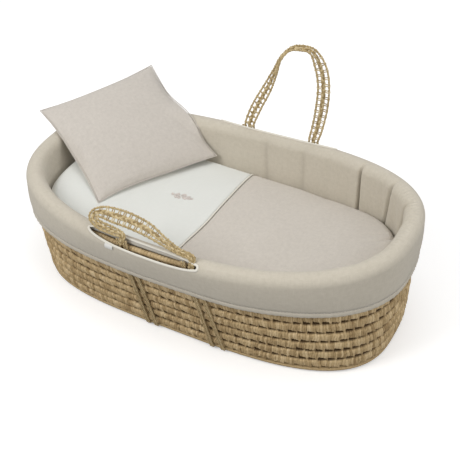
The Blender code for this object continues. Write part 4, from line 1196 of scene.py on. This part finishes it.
def quilt_panel(name, head, node, material):
    columns, rows = 150, 170
    # rows crowd towards the sides, columns towards the rounded end
    even = np.linspace(-1, 1, rows)
    side = np.sign(even) * (1 - (1 - np.abs(even)) ** 1.5)
    reach = np.sin(np.linspace(0, 1, columns) * math.pi / 2) ** 0.9
    end = BED_X - limit(math.pi, QUILT_RADII) if head else BED_X + limit(0.0, QUILT_RADII)
    along = PIPING_X + (end - PIPING_X) * reach
    angle = np.linspace(0.0, math.pi, 3000)
    outline_x = BED_X + limit(angle, QUILT_RADII) * np.cos(angle)
    outline_y = limit(angle, QUILT_RADII) * np.sin(angle)
    order = np.argsort(outline_x)
    y = side[:, None] * np.interp(along, outline_x[order], outline_y[order])
    near = 1 - ease(np.abs(along - PIPING_X) / 0.16)
    x = along + (piping_line(y) - PIPING_X) * near
    x[:, 0] += -0.0009 if head else 0.0009
    # the panel dips into the seam beside the cord
    z = quilt_surface(x, y) - 0.0022 * bell((along - PIPING_X) / 0.0035)
    points = np.stack([x, y, z], -1)
    if head:
        points = points[:, ::-1]
    obj = grid(name, points, points[..., 0], points[..., 1])
    work = bmesh.new()
    work.from_mesh(obj.data)
    bmesh.ops.remove_doubles(work, verts=work.verts, dist=0.00002)
    # the border is drawn down and in towards the mattress
    border = [edge for edge in work.edges if len(edge.link_faces) == 1]
    lower = bmesh.ops.extrude_edge_only(work, edges=border)
    for vert in [part for part in lower["geom"] if isinstance(part, bmesh.types.BMVert)]:
        if abs(vert.co.x - float(piping_line(vert.co.y))) < 0.003:
            vert.co.z -= 0.0040
        else:
            vert.co.x = BED_X + (vert.co.x - BED_X) * 0.992
            vert.co.y *= 0.992
            vert.co.z = max(0.0945, vert.co.z - 0.030)
    write_facing_up(work, obj.data)
    thicken(obj, 0.0012)
    finish(obj, material, "quilt", [node])


def quilt_cord():
    y = np.linspace(-0.186, 0.186, 240)
    x = piping_line(y)
    strands = Strands()
    strands.tube(np.stack([x, y, quilt_surface(x, y) + 0.0002], 1), 0.0016, 10)
    finish(strands.build("quilt_cord"), "binding", "quilt", ["quilt_piping"])


quilt_panel("quilt_white_part", True, "quilt_white_band", "white")
quilt_panel("quilt_linen_part", False, "quilt_plain_panel", "plain")
quilt_cord()


# ---- embroidered sprig: satin-stitch leaves on a stem ----
SPRIG_CENTRE, SPRIG_TURN = np.array([-0.104, 0.024]), math.radians(8)
# root x and y on the sprig, direction in degrees, length
LEAVES = [
    (-0.017, 0.0, 120, 0.0085), (-0.013, 0.0, 58, 0.0100), (-0.012, 0.0005, -60, 0.0095),
    (-0.006, 0.001, 100, 0.0095), (-0.004, 0.001, -75, 0.0105), (0.001, 0.0015, 60, 0.0110),
    (0.005, 0.001, -50, 0.0100), (0.008, 0.001, 85, 0.0085), (0.012, 0.001, -85, 0.0085),
    (0.014, 0.0, 45, 0.0085), (0.016, 0.0, -35, 0.0080), (0.020, -0.001, 6, 0.0090),
]


def sprig():
    strands = Strands()
    cos, sin = math.cos(SPRIG_TURN), math.sin(SPRIG_TURN)

    def on_quilt(points, height):
        plan = SPRIG_CENTRE + points @ np.array([[cos, sin], [-sin, cos]])
        z = quilt_surface(plan[:, 0], plan[:, 1]) + height
        return np.concatenate([plan, z[:, None]], 1)

    arch = 0.0022 * np.sin(np.linspace(0, math.pi, 40)) - 0.001
    stem = np.stack([np.linspace(-0.020, 0.020, 40), arch], 1)
    strands.tube(on_quilt(stem, 0.0005), 0.0006, 6, tone=0.4)
    heights = np.array([0.0001, 0.0006, 0.0005, 0.0006, 0.0001])
    radii = np.array([0.00022, 0.00034, 0.00034, 0.00034, 0.00022])
    for k, (x, y, angle, size) in enumerate(LEAVES):
        axis = np.array([math.cos(math.radians(angle)), math.sin(math.radians(angle))])
        side = np.array([-axis[1], axis[0]])
        for j in range(15):
            share = (j + 0.5) / 15
            half = 0.0034 * math.sin(math.pi * share) ** 0.7 + 0.0004
            root = np.array([x, y]) + axis * size * share
            line = np.stack([
                root + side * half * across + axis * 0.0013 * (1 - abs(across))
                for across in (-1, -0.5, 0, 0.5, 1)
            ])
            tone = 0.3 + 0.5 * scatter(j + 20 * k, 4)
            strands.tube(on_quilt(line, heights), radii, 4, tone=tone)
    finish(strands.build("sprig_stitching"), "thread", "quilt", ["sprig_embroidery"])


sprig()


# ---- mattress sheet ----
SHEET_TOP = MATTRESS_TOP + 0.0012
# from the bottom up: inset from the mattress outline, height
SHEET_SIDE = [
    (0.0060, 0.0195), (0.0012, 0.0205), (-0.0002, 0.0260), (-0.0006, 0.0400),
    (-0.0003, SHEET_TOP - 0.0080), (0.0012, SHEET_TOP - 0.0040), (0.0045, SHEET_TOP - 0.0012),
    (0.0100, SHEET_TOP - 0.0001), (0.0250, SHEET_TOP),
]


def sheet():
    columns = 420
    angle = np.arange(columns) / columns * TAU
    edge = limit(angle, MATTRESS_RADII)
    ruffle = 0.0007 * np.sin(angle * 78 + 1.3 * np.sin(5 * angle)) + 0.0004 * np.sin(angle * 131)
    rows = []
    for inset, z in SHEET_SIDE:
        radius = edge - inset + ruffle * ease((0.045 - z) / 0.03)
        x, y = BED_X + radius * np.cos(angle), radius * np.sin(angle)
        rows.append(np.stack([x, y, np.full(columns, z)], 1))
    for share in (0.8, 0.6, 0.4, 0.2, 0.03):
        radius = (edge - SHEET_SIDE[-1][0]) * share
        x, y = BED_X + radius * np.cos(angle), radius * np.sin(angle)
        rows.append(np.stack([x, y, SHEET_TOP + 0.0004 * np.sin(40 * x) * np.sin(33 * y)], 1))
    obj = grid("fitted_cotton_sheet", np.stack(rows), np.arange(columns + 1) / columns * 2.0,
               np.linspace(0, 0.26, len(rows)), wrap=(0, 1))
    # a fan of triangles closes the middle
    work = bmesh.new()
    work.from_mesh(obj.data)
    work.verts.ensure_lookup_table()
    last = [work.verts[(len(rows) - 1) * columns + i] for i in range(columns)]
    middle = work.verts.new((BED_X, 0, SHEET_TOP))
    for i in range(columns):
        work.faces.new((last[i], last[(i + 1) % columns], middle))
    write_facing_up(work, obj.data)
    thicken(obj, 0.0009)
    finish(obj, "sheet", "mattress", ["fitted_sheet"])


sheet()


# ---- pillow: leans from the quilt up onto the padded roll at the head end ----
LOWER_NEAR = np.array([-0.232, -0.0975, 0.179])
LOWER_FAR = np.array([-0.1016, 0.183, 0.166])
UPPER_NEAR = np.array([-0.4594, 0.029, 0.2695])
UPPER_FAR = np.array([-0.326, 0.2815, 0.295])
RIM_LINE = oval(np.linspace(math.pi / 2, 3 * math.pi / 2, 361), 1.0)
ROLL_CLEAR = 0.0214  # radius of the roll with a little clearance
SEAM_THICKNESS = 0.0016
CLOTH = {
    "quality": 6, "mass": 0.25, "use_pressure": True, "uniform_pressure_force": 2.0,
    "tension_stiffness": 18, "compression_stiffness": 18, "bending_stiffness": 0.25,
    "shrink_min": -0.02,
}


def support(x, y):
    """Height of what lies under the pillow."""
    gap = np.hypot(RIM_LINE[None, :, 0] - x[:, None], RIM_LINE[None, :, 1] - y[:, None])
    k = gap.argmin(1)
    near = gap[np.arange(len(x)), k]
    roll = rim_height(RIM_LINE[k, 0]) + np.sqrt(np.maximum(0.0, ROLL_CLEAR**2 - near**2))
    roll = roll + 0.0010 - 7.0 * np.maximum(0.0, near - ROLL_CLEAR)
    radius, edge = quilt_reach(x, y)
    bed = np.where(radius < edge + 0.004, quilt_top(x, y) + 0.0012, -1.0)
    return np.maximum(bed, roll)


def puffed_by_cloth(obj, start):
    """The pillow's points after a short cloth simulation under pressure, moved only part way."""
    cloth = obj.modifiers.new("Cloth", "CLOTH")
    for key, value in CLOTH.items():
        setattr(cloth.settings, key, value)
    cloth.settings.effector_weights.gravity = 0
    cloth.collision_settings.use_self_collision = False
    scene = bpy.context.scene
    for number in range(1, 21):
        scene.frame_set(number)
    graph = bpy.context.evaluated_depsgraph_get()
    done = obj.evaluated_get(graph).to_mesh()
    moved = np.zeros(len(start) * 3, np.float32)
    done.vertices.foreach_get("co", moved)
    obj.evaluated_get(graph).to_mesh_clear()
    obj.modifiers.clear()
    scene.frame_set(1)
    shift = moved.reshape(-1, 3).astype(float) - start
    size = np.linalg.norm(shift, axis=1, keepdims=True)
    return start + 0.4 * shift * np.minimum(1.0, 0.010 / np.maximum(size, 1e-9))


def pillow():
    count = 57  # points along each side
    even = np.linspace(-1, 1, count)
    length, width = np.meshgrid(even, even, indexing="ij")
    # the sides curve in a little between the corners
    far = ((width * (1 - 0.035 * (1 - length * length)) + 1) / 2)[..., None]
    high = ((length * (1 - 0.035 * (1 - width * width)) + 1) / 2)[..., None]
    lower = LOWER_NEAR * ((1 - far) * (1 - high)) + LOWER_FAR * (far * (1 - high))
    plane = lower + UPPER_NEAR * ((1 - far) * high) + UPPER_FAR * (far * high)
    x, y, z = np.moveaxis(plane, -1, 0)
    loft = np.sqrt(np.maximum(0, 1 - width * width) * np.maximum(0, 1 - length * length))
    thick = SEAM_THICKNESS + (PILLOW_THICKNESS - SEAM_THICKNESS) * loft
    # towards its edges the pillow sinks a little into the padded roll
    sink = 0.0070 * (1 - loft) ** 2
    floor = (support(x.ravel(), y.ravel()) + 0.0016).reshape(count, count) - sink
    # it bends over what pushes it up, and doesn't follow every step
    lift = np.maximum(0.0, floor - (z - thick / 2))
    eased = lift.copy()
    for _ in range(70):
        wide = np.pad(eased, 1, mode="edge")
        around = wide[:-2, 1:-1] + wide[2:, 1:-1] + wide[1:-1, :-2] + wide[1:-1, 2:]
        eased = np.maximum(lift, around / 4)
    bottom = z - thick / 2 + eased
    # what it rests on presses into it, and its top stays nearly flat
    top = np.maximum(z + thick / 2, bottom + 0.35 * thick)
    for _ in range(10):
        soft = top.copy()
        around = top[:-2, 1:-1] + top[2:, 1:-1] + top[1:-1, :-2] + top[1:-1, 2:]
        soft[1:-1, 1:-1] = around / 4
        top = np.maximum(soft, bottom + 0.0012)
    lower_face, upper_face = np.stack([x, y, bottom], -1), np.stack([x, y, top], -1)
    inner = np.zeros((count, count), bool)
    inner[1:-1, 1:-1] = True
    # the two faces share their border, which is the seam
    upper_index = np.arange(count * count).reshape(count, count)
    lower_index = upper_index.copy()
    lower_index[inner] = count * count + np.arange(inner.sum())
    upper_face[~inner] = ((lower_face + upper_face) / 2)[~inner]
    points = np.concatenate([upper_face.reshape(-1, 3), lower_face[inner]])
    upper_cells, lower_cells = cells(upper_index), cells(lower_index)[..., [0, 3, 2, 1]]
    faces = np.concatenate([upper_cells.reshape(-1, 4), lower_cells.reshape(-1, 4)])
    flat_uv = np.stack([width, length], -1) * 0.15
    flat_uv = np.concatenate([flat_uv.reshape(-1, 2), flat_uv[inner]])
    obj = make_mesh("linen_pillow", points, faces, flat_uv[faces])
    face_out(obj)
    points = puffed_by_cloth(obj, points)
    # the underside keeps clear of what it rests on
    sinks = np.concatenate([sink.ravel(), sink[inner]])
    floor = support(points[:, 0], points[:, 1]) + 0.0012 - sinks
    points[:, 2] = np.maximum(points[:, 2], floor)
    obj.data.vertices.foreach_set("co", points.astype(np.float32).ravel())
    obj.data.update()
    # a fine seam runs round the edge
    border = [upper_index[0, :-1], upper_index[:-1, -1], upper_index[-1, :0:-1],
              upper_index[:0:-1, 0]]
    strands = Strands()
    seam_path, _ = smooth_path(points[np.concatenate(border)], 640, closed=True)
    strands.tube(seam_path, 0.0011, 7, closed=True)
    finish(strands.build("pillow_seam"), "pillow", "pillow")
    subdivision = obj.modifiers.new("Round", "SUBSURF")
    subdivision.levels = subdivision.render_levels = 1
    apply_modifiers(obj)
    obj.data.shade_smooth()
    finish(obj, "pillow", "pillow", ["pillow_case", "pillow_insert"])


pillow()

# ---- hidden pieces that stay as solids ----
KEPT = {
    "liner_floor": "backing", "liner_backing": "backing", "mattress_core": "foam",
    "mattress_cover": "sheet", "quilt_back_panel": "plain", "quilt_filling": "wadding",
}
for node, key in KEPT.items():
    solid_mesh = frame["nodes"][node].data
    solid_mesh.materials.clear()
    solid_mesh.materials.append(MATERIALS[key])
    if not solid_mesh.uv_layers:
        solid_mesh.uv_layers.new(name="UVMap")


# ---- stage ----
def studio_floor():
    """A floor that is paler to the camera than to the light it bounces."""
    half, z = 6, -0.0005
    corners = [(-half, -half, z), (half, -half, z), (half, half, z), (-half, half, z)]
    mesh = bpy.data.meshes.new("studio_floor")
    mesh.from_pydata(corners, [], [(0, 1, 2, 3)])
    obj = bpy.data.objects.new("studio_floor", mesh)
    bpy.context.scene.collection.objects.link(obj)
    n = Nodes("floor_paper")
    seen = n.node("ShaderNodeLightPath").outputs["Is Camera Ray"]
    n.surface({
        "Roughness": 0.95,
        "Specular IOR Level": 0.1,
        "Base Color": n.mix(seen, (0.38, 0.38, 0.38, 1), (0.93, 0.93, 0.93, 1)),
        "Emission Color": (1.0, 1.0, 1.0, 1),
        "Emission Strength": n.math("MULTIPLY", seen, 0.30),
    })
    mesh.materials.append(n.material)


def studio_world():
    world = bpy.data.worlds.new("studio")
    bpy.context.scene.world = world
    world.use_nodes = True
    background = world.node_tree.nodes["Background"]
    background.inputs["Color"].default_value = (1.0, 1.0, 1.0, 1)
    background.inputs["Strength"].default_value = 0.56


def area(name, place, target, size, power):
    light = bpy.data.lights.new(name, "AREA")
    light.shape, light.size, light.energy = "DISK", size, power
    obj = bpy.data.objects.new(name, light)
    bpy.context.scene.collection.objects.link(obj)
    obj.location = place
    obj.rotation_mode = "QUATERNION"
    obj.rotation_quaternion = (Vector(target) - Vector(place)).to_track_quat("-Z", "Y")


studio_floor()
studio_world()
area("key_light", place=(-1.4, -2.0, 2.3), target=(0, 0, 0.15), size=1.5, power=40)
area("top_light", place=(0.3, 0.4, 3.0), target=(0, 0, 0.1), size=2.2, power=14)
area("fill_light", place=(2.4, -0.5, 1.5), target=(0, 0, 0.1), size=1.8, power=15)

# ---- camera ----
camera = bpy.data.objects.new("camera", bpy.data.cameras.new("camera"))
bpy.context.scene.collection.objects.link(camera)
# its right, up and backward directions, then its place
camera.matrix_world = Matrix((
    (0.88360, 0.46824, -0.00115, 0),
    (-0.28709, 0.54368, 0.78866, 0),
    (0.36991, -0.69653, 0.61482, 0),
    (0.77134, -1.45242, 1.43704, 1),
)).transposed()
camera.data.sensor_width = 36.0
camera.data.lens = 78.26087
camera.data.shift_x, camera.data.shift_y = 0.0253, -0.0241
camera.data.clip_start, camera.data.clip_end = 0.05, 50
bpy.context.scene.camera = camera
bpy.context.scene.view_settings.view_transform = "Standard"

bpy.context.view_layer.update()
